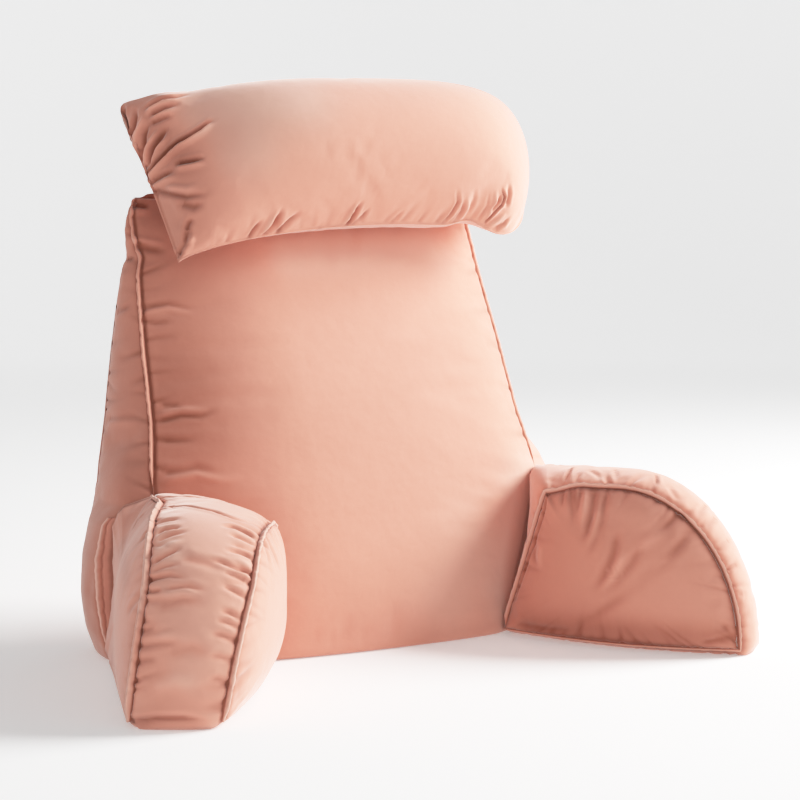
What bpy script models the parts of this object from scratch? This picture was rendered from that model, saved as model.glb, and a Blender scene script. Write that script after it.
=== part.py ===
"""Reading pillow with arms: a wedge backrest, two boxed arms and a loose head pillow.

Metres. X runs across the pillow, +Y towards its back and Z up. z = 0 is the surface that it
stands on, and the origin is on the flat underside of the backrest.
"""
import math

import bpy
import bmesh
from mathutils import Vector

# ---- driving dimensions ------------------------------------------------------------------
FRONT_EDGE_Y = -0.080       # lower front edge of the backrest
FRONT_SLOPE = 0.40          # lean of the front panel, run over rise
BACKREST_HEIGHT = 0.475     # to the top edge, below its sewn ridge
CLEARANCE = 0.0006          # free gap between pieces that press on each other

SEAM_HEIGHT = 0.0050        # how far a sewn seam stands out as a ridge
SEAM_HALF_WIDTH = 0.0015    # half the thickness of that ridge
SEAM_CREVICE = 0.0012       # how deep the cloth is drawn in beside it

# The arm is sewn to a flat face of the backrest that starts at the lower front corner.
ROOT_CORNER = Vector((0.148, FRONT_EDGE_Y, 0.0))
ROOT_TOP = Vector((0.235, FRONT_EDGE_Y + 0.067, 0.167))
ROOT_OUTER = Vector((0.294, FRONT_EDGE_Y + 0.078, 0.0))
ROOT_NORMAL = (ROOT_TOP - ROOT_CORNER).cross(ROOT_OUTER - ROOT_CORNER).normalized()
if ROOT_NORMAL.y < 0:
    ROOT_NORMAL.negate()

# One row for each level of the backrest: height, half width of the front panel, half width
# at the flare that meets the arm (0 where there is none), half width and depth of the back
# panel, and how far the front panel bulges.
BACKREST_LEVELS = (
    (0.000, 0.148, 0.282, 0.261, 0.165, 0.012),
    (0.030, 0.1636, 0.290, 0.269, 0.166, 0.020),
    (0.065, 0.182, 0.293, 0.273, 0.168, 0.027),
    (0.105, 0.2027, 0.290, 0.270, 0.170, 0.032),
    (0.140, 0.221, 0.279, 0.263, 0.171, 0.035),
    (0.160, 0.2315, 0.262, 0.258, 0.172, 0.037),
    (0.175, 0.2345, 0.0, 0.255, 0.173, 0.038),
    (0.240, 0.2250, 0.0, 0.244, 0.178, 0.040),
    (0.320, 0.2195, 0.0, 0.232, 0.184, 0.036),
    (0.400, 0.2125, 0.0, 0.217, 0.191, 0.026),
    (0.450, 0.2110, 0.0, 0.203, 0.198, 0.014),
    (0.475, 0.2100, 0.0, 0.191, 0.204, 0.006),
)
FLARE_ROWS = BACKREST_LEVELS[:6]    # the levels that the arms are sewn to
FLARE_TOP = FLARE_ROWS[-1][0]
BACK_BULGE = 0.020
SIDE_BULGE = 0.008
FLARE_SHARE = 0.30          # where the gusset's front third ends when there is no flare

# One set for each arm, written for the right-hand side: the tips of its two side panels on
# the floor, how far its seams lean and bow, their heights, and how far each panel bulges.
ARM_RIGHT = {
    "inner_tip": Vector((0.298, FRONT_EDGE_Y - 0.220, 0.0)),
    "outer_tip": Vector((0.343, FRONT_EDGE_Y - 0.184, 0.0)),
    "root_lean": 0.048,
    "inner_root_height": 0.160,
    "inner_height": 0.169,
    "outer_height": 0.172,
    "inner_bulge": 0.034,
    "outer_bulge": 0.036,
    "band_bulge": 0.013,
    "seam_bow": 0.022,
    "lean_in": 0.0,
    "pocket_mouth": 0.0,
}
ARM_LEFT = {
    "inner_tip": Vector((0.297, FRONT_EDGE_Y - 0.227, 0.0)),
    "outer_tip": Vector((0.369, FRONT_EDGE_Y - 0.185, 0.0)),
    "root_lean": 0.048,
    "inner_root_height": 0.148,
    "inner_height": 0.156,
    "outer_height": 0.170,
    "inner_bulge": 0.027,
    "outer_bulge": 0.030,
    "band_bulge": 0.013,
    "seam_bow": 0.012,
    "lean_in": 0.022,
    "pocket_mouth": 0.015,
}
PANEL_SHARES = (0.25, 0.50, 0.72, 0.88, 0.965)
ARM_FLAT_TOP = 0.50         # share of the arm's length before its top curves down
OUTER_TOP_START = 0.012     # where the outer panel's top seam starts, ahead of the root face
BOTTOM_SEAM_HEIGHT = 0.006
POCKET_REACH = 0.045        # how deep the pocket's mouth runs into the arm
POCKET_BOTTOM = 0.012
POCKET_TOP = 0.160
FACING_THICKNESS = 0.002
FACING_WIDTH = 0.030
FACING_PROUD = 0.004        # how far the facing shows past the backrest's side

# Corners of the head pillow's seam, and how far its sides are drawn in or bowed out.
HEAD_LOWER_LEFT = Vector((-0.191, FRONT_EDGE_Y + 0.100, 0.407))
HEAD_LOWER_RIGHT = Vector((0.220, FRONT_EDGE_Y + 0.100, 0.431))
HEAD_UPPER_LEFT = Vector((-0.203, FRONT_EDGE_Y + 0.228, 0.580))
HEAD_UPPER_RIGHT = Vector((0.258, FRONT_EDGE_Y + 0.232, 0.590))
HEAD_LOWER_DRAWN_IN = 0.027
HEAD_UPPER_DRAWN_IN = 0.006
HEAD_RIGHT_BOW = 0.040
HEAD_FRONT_BULGE = 0.100
HEAD_BACK_BULGE = 0.070
HEAD_SEAT_FROM = 0.39      # height above which the backrest presses into the pillow
HEAD_LIFT = 0.012           # how much the filling lifts the pillow's crown

VELVET = (0.80, 0.44, 0.34, 1.0)
VELVET_DARK = (0.70, 0.36, 0.27, 1.0)


# ---- small helpers -----------------------------------------------------------------------
def smooth_step(value, low, high):
    """0 below low, 1 above high, and an easy curve between them."""
    share = min(1.0, max(0.0, (value - low) / (high - low)))
    return share * share * (3.0 - 2.0 * share)


def table_at(rows, height):
    """The row of the table at this height, read from a smooth curve through the rows."""
    last = len(rows) - 1
    index = 0
    while index < last - 1 and height > rows[index + 1][0]:
        index += 1
    before, start = rows[max(index - 1, 0)], rows[index]
    end, after = rows[index + 1], rows[min(index + 2, last)]
    share = (height - start[0]) / (end[0] - start[0])
    values = []
    for a, b, c, d in zip(before, start, end, after):
        slope_b = 0.5 * (c - a)
        slope_c = 0.5 * (d - b)
        cubic = 2.0 * (b - c) + slope_b + slope_c
        square = 3.0 * (c - b) - 2.0 * slope_b - slope_c
        values.append(((cubic * share + square) * share + slope_b) * share + b)
    return values


def linear_at(rows, height, column):
    """One column of the table at this height, read straight between its rows."""
    for low, high in zip(rows, rows[1:]):
        if height <= high[0]:
            share = (height - low[0]) / (high[0] - low[0])
            return low[column] + (high[column] - low[column]) * share
    return rows[-1][column]


def velvet_material(name, colour):
    """Matt cloth with a soft sheen."""
    material = bpy.data.materials.new(name)
    material.use_nodes = True
    shader = material.node_tree.nodes["Principled BSDF"]
    shader.inputs["Base Color"].default_value = colour
    shader.inputs["Roughness"].default_value = 0.85
    shader.inputs["Metallic"].default_value = 0.0
    shader.inputs["Sheen Weight"].default_value = 0.4
    material.diffuse_color = colour
    return material


def add_object(name, points, faces, colour=VELVET):
    """A closed mesh object of these points and faces, with its faces pointing out."""
    mesh = bpy.data.meshes.new(name)
    mesh.from_pydata([tuple(point) for point in points], [], faces)
    builder = bmesh.new()
    builder.from_mesh(mesh)
    bmesh.ops.triangulate(builder, faces=[face for face in builder.faces if len(face.verts) > 4])
    bmesh.ops.recalc_face_normals(builder, faces=builder.faces)
    builder.to_mesh(mesh)
    builder.free()
    mesh.shade_smooth()
    mesh.set_sharp_from_angle(angle=math.radians(50))
    mesh.materials.append(velvet_material(name + "_velvet", colour))
    thing = bpy.data.objects.new(name, mesh)
    bpy.context.scene.collection.objects.link(thing)
    return thing


def skin_rings(rings, first_centre=None, last_centre=None):
    """Points and faces of a body whose closed rings follow each other from end to end."""
    points = [point for ring in rings for point in ring]
    count = len(rings[0])
    faces = []
    for level in range(len(rings) - 1):
        for index in range(count):
            following = (index + 1) % count
            low, high = level * count, (level + 1) * count
            faces.append((low + index, low + following, high + following, high + index))
    for centre, level in ((first_centre, 0), (last_centre, len(rings) - 1)):
        ring_start = level * count
        if centre is None:
            faces.append(tuple(range(ring_start, ring_start + count)))
            continue
        points.append(centre)
        for index in range(count):
            faces.append((ring_start + index, ring_start + (index + 1) % count, len(points) - 1))
    return points, faces


# ---- backrest ----------------------------------------------------------------------------
def root_face_y(x, height):
    """Y of the flat face that the arm is sewn to, at this x and height."""
    along = (x - ROOT_CORNER.x) * ROOT_NORMAL.x + height * ROOT_NORMAL.z
    return ROOT_CORNER.y - along / ROOT_NORMAL.y


def backrest_half(height):
    """Right half of a level of the backrest, from the front's middle to the back's."""
    row = table_at(BACKREST_LEVELS, height)
    front_half, back_half, depth, bulge = row[1], row[3], row[4], row[5]
    flare_half = linear_at(BACKREST_LEVELS, height, 2)
    flared = height <= FLARE_TOP
    if height < ROOT_TOP.z:
        front_half = ROOT_CORNER.x + (ROOT_TOP.x - ROOT_CORNER.x) * height / ROOT_TOP.z
    front = Vector((front_half, FRONT_EDGE_Y + FRONT_SLOPE * height))
    back = Vector((back_half, FRONT_EDGE_Y + depth))
    if flared:
        flare = Vector((flare_half, root_face_y(flare_half, height)))
    else:
        flare = front.lerp(back, FLARE_SHARE)
        flare.x += 0.75 * SIDE_BULGE

    points = []
    front_steps = 9
    for step in range(front_steps):
        share = step / front_steps
        crown = bulge * (1.0 - share ** 2.2) ** 0.8
        points.append(Vector((front.x * share, front.y - crown)))

    # The sewn ridge at the front seam fades out where the arm is sewn on, and at the top.
    top_fade = 1.0 - smooth_step(height, 0.460, BACKREST_HEIGHT)
    ridge = SEAM_HEIGHT * smooth_step(height, 0.176, 0.205) * top_fade
    along_front = Vector((1.0, 0.25)).normalized()
    along_side = (flare - front).normalized()
    points += seam_ridge(front, along_front, along_side, Vector((0.75, -0.66)), ridge)

    flare_steps = 3
    start = front + along_side * SEAM_HALF_WIDTH
    for step in range(1, flare_steps + 1):
        points.append(start.lerp(flare, step / flare_steps))
    side_steps = 5
    for step in range(1, side_steps):
        share = step / side_steps
        point = flare.lerp(back, share)
        point.x += SIDE_BULGE * (1.0 - (2.0 * share - 1.0) ** 2) ** 0.8 if flared else 0.0
        if not flared:
            whole = FLARE_SHARE + (1.0 - FLARE_SHARE) * share
            point.x += SIDE_BULGE * (1.0 - (2.0 * whole - 1.0) ** 2) ** 0.8
        points.append(point)

    ridge = SEAM_HEIGHT * smooth_step(height, 0.006, 0.020) * top_fade
    along_side = (back - points[-1]).normalized()
    points += seam_ridge(back, along_side, Vector((-1.0, 0.15)), Vector((0.25, 0.97)), ridge)
    back_steps = 6
    for step in range(1, back_steps + 1):
        share = 1.0 - step / back_steps
        crown = BACK_BULGE * (1.0 - share ** 2.5) ** 0.8
        points.append(Vector((back.x * share, back.y + crown)))
    return points


def seam_ridge(corner, arriving, leaving, outward, height):
    """Four points round a corner: up one side of the sewn ridge and down the other."""
    before = corner - arriving * SEAM_HALF_WIDTH
    after = corner + leaving * SEAM_HALF_WIDTH
    raised = outward.normalized() * height
    drawn = outward.normalized() * (SEAM_CREVICE * min(1.0, height / SEAM_HEIGHT))
    return [
        before - drawn,
        corner - arriving * 0.6 * SEAM_HALF_WIDTH + raised,
        corner + leaving * 0.6 * SEAM_HALF_WIDTH + raised,
        after - drawn,
    ]


def backrest_level(height, width_share=1.0, depth_share=1.0, at=None):
    """A closed level of the backrest, which may be drawn in about its middle."""
    half = backrest_half(height)
    whole = half + [Vector((-point.x, point.y)) for point in reversed(half[1:-1])]
    middle_y = 0.5 * (half[0].y + half[-1].y)
    top = height if at is None else at
    return [
        Vector((point.x * width_share, middle_y + (point.y - middle_y) * depth_share, top))
        for point in whole
    ]


def build_backrest():
    """Wedge cushion with a crowned front, drawn-in sides and a sewn ridge along its top."""
    rings = [backrest_level(0.0, 0.966, 0.91, 0.0), backrest_level(0.0, 0.988, 0.965, 0.003)]
    heights = (0.010, 0.028, 0.050, 0.075, 0.100, 0.122, 0.140, 0.152, 0.160, 0.168, 0.178)
    heights += (0.192, 0.210, 0.240, 0.275, 0.310, 0.345, 0.380, 0.410, 0.435, 0.455)
    rings += [backrest_level(height) for height in heights]
    top = BACKREST_HEIGHT
    rings.append(backrest_level(0.466, 1.0, 0.92, 0.466))
    rings.append(backrest_level(0.472, 0.998, 0.66, 0.473))
    rings.append(backrest_level(top, 0.995, 0.26, top + 0.001))
    rings.append(backrest_level(top, 0.998, 0.16, top + 0.0035))
    rings.append(backrest_level(top, 0.996, 0.14, top + 0.006))
    points, faces = skin_rings(rings)
    return add_object("backrest", points, faces)


# ---- arms --------------------------------------------------------------------------------
def arm_outline(corner, tip, lean, root_height, height):
    """Closed outline of an arm's side panel: up the root, along the top, down the front and
    back along the floor. Each point is a plan position on the line to the tip, and a height."""
    length = (tip - corner).length
    flat_end = length * ARM_FLAT_TOP
    outline = []
    root_steps, top_steps, front_steps, floor_steps = 9, 6, 13, 11
    for step in range(root_steps):
        share = step / root_steps
        rise = BOTTOM_SEAM_HEIGHT + (root_height - BOTTOM_SEAM_HEIGHT) * share
        outline.append((lean * share, rise))
    for step in range(top_steps):
        share = step / top_steps
        settle = smooth_step(share, 0.0, 0.5)
        outline.append((lean + (flat_end - lean) * share, root_height + (height - root_height) * settle))
    for step in range(front_steps):
        angle = math.pi / 2.0 * (1.0 - step / front_steps)
        rise = BOTTOM_SEAM_HEIGHT + (height - BOTTOM_SEAM_HEIGHT) * math.sin(angle)
        outline.append((flat_end + (length - flat_end) * math.cos(angle), rise))
    for step in range(floor_steps):
        share = 1.0 - step / floor_steps
        outline.append((length * share, BOTTOM_SEAM_HEIGHT))
    direction = (tip - corner).normalized()
    return [corner + direction * along + Vector((0.0, 0.0, rise)) for along, rise in outline], root_steps


def root_distance(point):
    """How far a point is past the face that the arm is sewn to; below 0 in front of it."""
    return (point - ROOT_CORNER).dot(ROOT_NORMAL)


def flare_reach(height):
    """Distance along the root face from its corner to the backrest's side, at this height."""
    half = linear_at(FLARE_ROWS, min(height, FLARE_TOP), 2)
    return Vector((half - ROOT_CORNER.x, root_face_y(half, height) - ROOT_CORNER.y)).length


def mouth_depth(point, mouth):
    """How far the arm stands off the root face at the pocket's mouth."""
    middle = 0.62
    share = (point.z - POCKET_BOTTOM) / (POCKET_TOP - POCKET_BOTTOM)
    if mouth <= 0.0 or share <= 0.0 or share >= 1.0:
        return 0.0
    if share < middle:
        swell = smooth_step(share, -0.1, middle)
    else:
        swell = smooth_step(1.0 - share, -0.05, 1.0 - middle)
    reach = Vector((point.x - ROOT_CORNER.x, point.y - ROOT_CORNER.y)).length
    into = flare_reach(point.z) - reach
    return mouth * swell * smooth_step(1.0 - into / POCKET_REACH, 0.0, 1.0)


def pressed(point, mouth):
    """The point, held off the root face of the backrest and flat on the floor."""
    excess = root_distance(point) + CLEARANCE + mouth_depth(point, mouth)
    if excess > 0.0:
        point = point - ROOT_NORMAL * excess
    return Vector((point.x, point.y, max(0.0, point.z)))


def leaned(point, across, arm):
    """The point, moved towards the seat as the upper part of the arm leans in."""
    ahead = -root_distance(point)
    share = smooth_step(ahead, 0.005, 0.075) * min(1.0, point.z / 0.12)
    return point - across * arm["lean_in"] * share


def arm_rings(arm):
    """Rings of a boxed arm from the middle of its inner panel round to that of its outer."""
    inner, root_steps = arm_outline(
        ROOT_CORNER, arm["inner_tip"], arm["root_lean"], arm["inner_root_height"], arm["inner_height"]
    )
    root_top = Vector((ROOT_TOP.x, ROOT_TOP.y, 0.0))
    outer, _ = arm_outline(
        root_top, arm["outer_tip"], OUTER_TOP_START, arm["outer_height"], arm["outer_height"]
    )
    # The outer panel's root edge follows the flare of the backrest's side.
    for step in range(root_steps):
        quarter = math.sin(math.pi / 2.0 * step / root_steps)
        rise = BOTTOM_SEAM_HEIGHT + (arm["outer_height"] - BOTTOM_SEAM_HEIGHT) * quarter
        half = linear_at(FLARE_ROWS, min(rise, FLARE_TOP), 2)
        if rise > FLARE_TOP:
            half += (ROOT_TOP.x - half) * (rise - FLARE_TOP) / (arm["outer_height"] - FLARE_TOP)
        on_face = Vector((half, root_face_y(half, rise), rise))
        outer[step] = on_face - ROOT_NORMAL * mouth_depth(on_face, arm["pocket_mouth"])
    tip_index = root_steps + 6 + 13
    floor_start = outer[0].copy()
    for step in range(tip_index, len(outer)):
        share = (step - tip_index) / (len(outer) - tip_index)
        outer[step] = outer[tip_index].lerp(floor_start, share)

    across = (arm["outer_tip"] - arm["inner_tip"]).normalized()
    for step in range(tip_index, len(inner)):
        share = (step - tip_index) / (len(inner) - tip_index)
        inner[step] = inner[step] - across * arm["seam_bow"] * math.sin(math.pi * share)
    inner = [leaned(point, across, arm) for point in inner]
    outer = [leaned(point, across, arm) for point in outer]
    inner_axis = (arm["inner_tip"] - ROOT_CORNER).normalized()
    inward = Vector((0.0, 0.0, 1.0)).cross(inner_axis)
    if inward.dot(across) > 0.0:
        inward.negate()
    outer_axis = (arm["outer_tip"] - root_top).normalized()
    outward = Vector((0.0, 0.0, 1.0)).cross(outer_axis)
    if outward.dot(across) < 0.0:
        outward.negate()

    inner_rims, outer_rims = outline_rims(inner, inward), outline_rims(outer, outward)
    inner_panel, inner_centre = panel_rings(inner, inward, arm["inner_bulge"])
    outer_panel, outer_centre = panel_rings(outer, outward, arm["outer_bulge"])
    band = []
    for share in (0.10, 0.30, 0.50, 0.70, 0.90):
        crown = arm["band_bulge"] * (1.0 - (2.0 * share - 1.0) ** 2) ** 0.7
        band.append([
            a.lerp(b, share) + a_rim.lerp(b_rim, share) * crown
            for a, b, a_rim, b_rim in zip(inner, outer, inner_rims, outer_rims)
        ])
    mouth = arm["pocket_mouth"]
    inner_panel, outer_panel, band, (inner, outer) = (
        [[pressed(point, mouth) for point in ring] for ring in rings]
        for rings in (inner_panel, outer_panel, band, (inner, outer))
    )
    rings = inner_panel + seam_rings(inner, inner_rims, inward, inner_panel[-1], band[0]) + band
    rings += reversed(seam_rings(outer, outer_rims, outward, outer_panel[-1], band[-1]))
    rings += reversed(outer_panel)
    return rings, inner_centre, outer_centre


def outline_rims(outline, side):
    """The direction out of a panel's edge, within the panel, at each point of its outline."""
    count = len(outline)
    centre = sum(outline, Vector()) / count
    rims = []
    for index, point in enumerate(outline):
        along = outline[(index + 1) % count] - outline[index - 1]
        rim = along.cross(side).normalized()
        rims.append(rim if rim.dot(point - centre) > 0.0 else -rim)
    return rims


def panel_rings(outline, side, bulge):
    """Rings of a crowned side panel, from near its middle to near its seam, and its middle."""
    centre = sum(outline, Vector()) / len(outline)
    rings = []
    for share in PANEL_SHARES:
        crown = bulge * (1.0 - share ** 2) ** 0.62
        ring = []
        for point in outline:
            reach = point - centre
            out_of_plane = reach.dot(side)
            flat = reach - side * out_of_plane
            ring.append(centre + flat * share + side * (out_of_plane * share ** 2 + crown))
        rings.append(ring)
    return rings, centre + side * bulge


def across_seam(reach, along):
    """The part of a reach that is square to the seam, as a direction."""
    return (reach - along * reach.dot(along)).normalized()


def seam_rings(outline, rims, side, panel_ring, band_ring):
    """Four rings over a sewn ridge, from the side panel to the gusset."""
    count = len(outline)
    rings = [[], [], [], []]
    for index, point in enumerate(outline):
        along = (outline[(index + 1) % count] - outline[index - 1]).normalized()
        to_panel = across_seam(panel_ring[index] - point, along)
        to_band = across_seam(band_ring[index] - point, along)
        room = -root_distance(point) - CLEARANCE
        raised_share = smooth_step(room, 0.003, 0.016)
        over = (to_panel - to_band).normalized()
        out = along.cross(over)
        if out.dot(rims[index] + side) < 0.0:
            out = -out
        thick = over * SEAM_HALF_WIDTH
        raised = out * SEAM_HEIGHT * raised_share
        drawn = out * SEAM_CREVICE * raised_share
        rings[0].append(point + thick - drawn)
        rings[1].append(point + thick * 0.6 + raised)
        rings[2].append(point - thick * 0.6 + raised)
        rings[3].append(point - thick - drawn)
    return rings


def build_arm(name, arm, side):
    """Boxed arm cushion; side is 1 on the right and -1 on the left."""
    rings, inner_centre, outer_centre = arm_rings(arm)
    mouth = arm["pocket_mouth"]
    placed = [[pressed(point, mouth) for point in ring] for ring in rings]
    points, faces = skin_rings(placed, inner_centre, outer_centre)
    points = [Vector((side * point.x, point.y, point.z)) for point in points]
    return add_object(name, points, faces)


def build_pocket_facing():
    """Turned lip of the pocket: a strip of cloth against the backrest, behind the slit."""
    low, high, rows, columns = 0.030, 0.142, 11, 4
    along = Vector((ROOT_OUTER.x - ROOT_CORNER.x, ROOT_OUTER.y - ROOT_CORNER.y, 0.0)).normalized()
    rings = []
    for row in range(rows + 1):
        height = low + (high - low) * row / rows
        taper = math.sin(math.pi * (0.12 + 0.76 * row / rows)) ** 0.5
        lift = ROOT_NORMAL.z * height / (ROOT_NORMAL.x * along.x + ROOT_NORMAL.y * along.y)
        start = ROOT_CORNER + Vector((0.0, root_face_y(ROOT_CORNER.x, height) - ROOT_CORNER.y, height))
        reach = flare_reach(height) + FACING_PROUD * taper
        front, rear = [], []
        for column in range(columns + 1):
            distance = reach - FACING_WIDTH * taper * (1.0 - column / columns)
            point = start + along * distance
            point.y = root_face_y(point.x, height)
            rear.append(point - ROOT_NORMAL * CLEARANCE)
            front.append(point - ROOT_NORMAL * (CLEARANCE + FACING_THICKNESS))
        ring = front + list(reversed(rear))
        rings.append([Vector((-point.x, point.y, point.z)) for point in ring])
    points, faces = skin_rings(rings)
    return add_object("pocket_facing", points, faces, VELVET_DARK)


# ---- head pillow -------------------------------------------------------------------------
def head_seam(across, up):
    """A point of the pillow's middle surface, bounded by its four seam edges."""
    lower = HEAD_LOWER_LEFT.lerp(HEAD_LOWER_RIGHT, across)
    upper = HEAD_UPPER_LEFT.lerp(HEAD_UPPER_RIGHT, across)
    hollow = (4.0 * across * (1.0 - across)) ** 0.7
    lower.z += HEAD_LOWER_DRAWN_IN * hollow
    upper.z -= HEAD_UPPER_DRAWN_IN * hollow
    point = lower.lerp(upper, up)
    point.x += HEAD_RIGHT_BOW * (4.0 * up * (1.0 - up)) ** 0.8 * across ** 3
    return point


def head_fullness(across, up):
    """How full the pillow is here, from 0 at its seam to 1: lean at the left, plump at the right."""
    if across < 0.5:
        sideways = (1.0 - (1.0 - 2.0 * across) ** 2.6) ** (0.80 - 0.30 * up)
    else:
        sideways = (1.0 - (2.0 * across - 1.0) ** 4.0) ** 0.55
    upwards = (1.0 - abs(2.0 * up - 1.0) ** 2.2) ** 0.6
    return sideways * upwards


def backrest_room(backrest):
    """A smooth hull round the top of the backrest: the cutter that seats the pillow on it."""
    hull = bmesh.new()
    for vertex in backrest.data.vertices:
        if vertex.co.z > HEAD_SEAT_FROM:
            hull.verts.new(vertex.co + vertex.normal * 2.0 * CLEARANCE)
    found = bmesh.ops.convex_hull(hull, input=hull.verts)
    loose = [item for item in found["geom_interior"] if isinstance(item, bmesh.types.BMVert)]
    bmesh.ops.delete(hull, geom=loose, context="VERTS")
    bmesh.ops.recalc_face_normals(hull, faces=hull.faces)
    mesh = bpy.data.meshes.new("backrest_room")
    hull.to_mesh(mesh)
    hull.free()
    room = bpy.data.objects.new("backrest_room", mesh)
    room.display_type = "WIRE"
    room.hide_render = True
    bpy.context.scene.collection.objects.link(room)
    return room


def build_head_pillow(backrest):
    """Knife-edged pillow of two panels, which leans back over the top of the backrest."""
    columns, rows = 26, 12
    rise = (HEAD_UPPER_LEFT - HEAD_LOWER_LEFT).normalized()
    front = Vector((1.0, 0.0, 0.0)).cross(rise).normalized()
    if front.y > 0.0:
        front.negate()
    across_steps = [0.5 - 0.5 * math.cos(math.pi * step / columns) for step in range(columns + 1)]
    up_steps = [0.5 - 0.5 * math.cos(math.pi * step / rows) for step in range(rows + 1)]
    points, faces, index_of = [], [], {}
    for panel, bulge in ((0, HEAD_FRONT_BULGE), (1, -HEAD_BACK_BULGE)):
        for row, up in enumerate(up_steps):
            for column, across in enumerate(across_steps):
                on_seam = row in (0, rows) or column in (0, columns)
                if panel == 1 and on_seam:
                    index_of[panel, row, column] = index_of[0, row, column]
                    continue
                index_of[panel, row, column] = len(points)
                fullness = 0.0 if on_seam else head_fullness(across, up)
                point = head_seam(across, up) + front * bulge * fullness
                points.append(point + Vector((0.0, 0.0, HEAD_LIFT * fullness)))
        for row in range(rows):
            for column in range(columns):
                corners = ((row, column), (row, column + 1), (row + 1, column + 1), (row + 1, column))
                faces.append(tuple(index_of[panel, r, c] for r, c in corners))
    pillow = add_object("head_pillow", points, faces)
    press = pillow.modifiers.new("pressed_on_backrest", "BOOLEAN")
    press.operation = "DIFFERENCE"
    press.object = backrest_room(backrest)
    weld = pillow.modifiers.new("weld_cut", "WELD")
    weld.merge_threshold = 0.0001
    return pillow


def main():
    for thing in list(bpy.data.objects):
        bpy.data.objects.remove(thing, do_unlink=True)
    backrest = build_backrest()
    build_arm("arm_right", ARM_RIGHT, 1.0)
    build_arm("arm_left", ARM_LEFT, -1.0)
    build_pocket_facing()
    build_head_pillow(backrest)


main()
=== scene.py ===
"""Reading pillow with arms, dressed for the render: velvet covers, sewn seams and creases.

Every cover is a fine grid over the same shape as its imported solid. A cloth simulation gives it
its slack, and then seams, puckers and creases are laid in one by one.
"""

import math

import bmesh
import bpy
import numpy as np
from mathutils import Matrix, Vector
from mathutils.bvhtree import BVHTree
from mathutils.kdtree import KDTree


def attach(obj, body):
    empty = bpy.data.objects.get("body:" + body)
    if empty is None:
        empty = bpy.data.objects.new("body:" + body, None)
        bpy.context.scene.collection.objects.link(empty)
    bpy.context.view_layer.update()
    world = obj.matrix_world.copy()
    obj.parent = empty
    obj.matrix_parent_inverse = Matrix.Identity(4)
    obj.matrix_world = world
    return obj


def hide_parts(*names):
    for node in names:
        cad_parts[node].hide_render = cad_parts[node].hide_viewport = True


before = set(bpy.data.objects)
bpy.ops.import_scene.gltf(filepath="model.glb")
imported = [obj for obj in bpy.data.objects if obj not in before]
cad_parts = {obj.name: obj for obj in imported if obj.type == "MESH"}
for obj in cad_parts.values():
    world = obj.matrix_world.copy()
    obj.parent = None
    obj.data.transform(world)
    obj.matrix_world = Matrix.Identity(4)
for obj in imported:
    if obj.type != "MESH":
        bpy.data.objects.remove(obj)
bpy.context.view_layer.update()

MM = 0.001
QUARTER_TURN = math.pi / 2.0

# ---- the photograph's camera -------------------------------------------------------------
CAMERA_AZIMUTH = math.radians(-30.0)
CAMERA_ELEVATION = math.radians(4.72)
CAMERA_DISTANCE = 2.105
CAMERA_AIM = np.array((0.0166, -0.0800, 0.2629))
LENS = 90.0
SENSOR = 36.0
IMAGE_SIZE = 800.0

CAMERA_BACK = np.array((
    math.sin(CAMERA_AZIMUTH) * math.cos(CAMERA_ELEVATION),
    -math.cos(CAMERA_AZIMUTH) * math.cos(CAMERA_ELEVATION),
    math.sin(CAMERA_ELEVATION),
))
CAMERA_RIGHT = np.array((math.cos(CAMERA_AZIMUTH), math.sin(CAMERA_AZIMUTH), 0.0))
CAMERA_UP = np.cross(CAMERA_BACK, CAMERA_RIGHT)
CAMERA_PLACE = CAMERA_AIM + CAMERA_BACK * CAMERA_DISTANCE


def pixel_ray(x, y):
    """Direction from the camera through a pixel of its 800 x 800 image."""
    scale = SENSOR / LENS / IMAGE_SIZE
    ray = CAMERA_RIGHT * (x - IMAGE_SIZE / 2) * scale + CAMERA_UP * (IMAGE_SIZE / 2 - y) * scale
    ray = ray - CAMERA_BACK
    return ray / np.linalg.norm(ray)


# ---- sizes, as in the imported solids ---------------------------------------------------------
FRONT_EDGE_Y = -0.080
FRONT_SLOPE = 0.40
BACKREST_HEIGHT = 0.475
CLEARANCE = 0.0006
ROOT_CORNER = np.array((0.148, FRONT_EDGE_Y, 0.0))
ROOT_TOP = np.array((0.235, FRONT_EDGE_Y + 0.067, 0.167))
ROOT_OUTER = np.array((0.294, FRONT_EDGE_Y + 0.078, 0.0))
ROOT_NORMAL = np.cross(ROOT_TOP - ROOT_CORNER, ROOT_OUTER - ROOT_CORNER)
ROOT_NORMAL /= np.linalg.norm(ROOT_NORMAL) * np.sign(ROOT_NORMAL[1])

# Height, half width of the front panel, half width at the flare, half width and depth of the
# back panel, and the front panel's bulge.
BACKREST_LEVELS = np.array((
    (0.000, 0.148, 0.282, 0.261, 0.165, 0.012),
    (0.030, 0.1636, 0.290, 0.269, 0.166, 0.020),
    (0.065, 0.182, 0.293, 0.273, 0.168, 0.027),
    (0.105, 0.2027, 0.290, 0.270, 0.170, 0.032),
    (0.140, 0.221, 0.279, 0.263, 0.171, 0.035),
    (0.160, 0.2315, 0.262, 0.258, 0.172, 0.037),
    (0.175, 0.2345, 0.0, 0.255, 0.173, 0.038),
    (0.240, 0.2250, 0.0, 0.244, 0.178, 0.040),
    (0.320, 0.2195, 0.0, 0.232, 0.184, 0.036),
    (0.400, 0.2125, 0.0, 0.217, 0.191, 0.026),
    (0.450, 0.2110, 0.0, 0.203, 0.198, 0.014),
    (0.475, 0.2100, 0.0, 0.191, 0.204, 0.006),
))
FLARE_ROWS = BACKREST_LEVELS[:6]
FLARE_TOP = FLARE_ROWS[-1, 0]
BACK_BULGE = 0.020
SIDE_BULGE = 0.008

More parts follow.
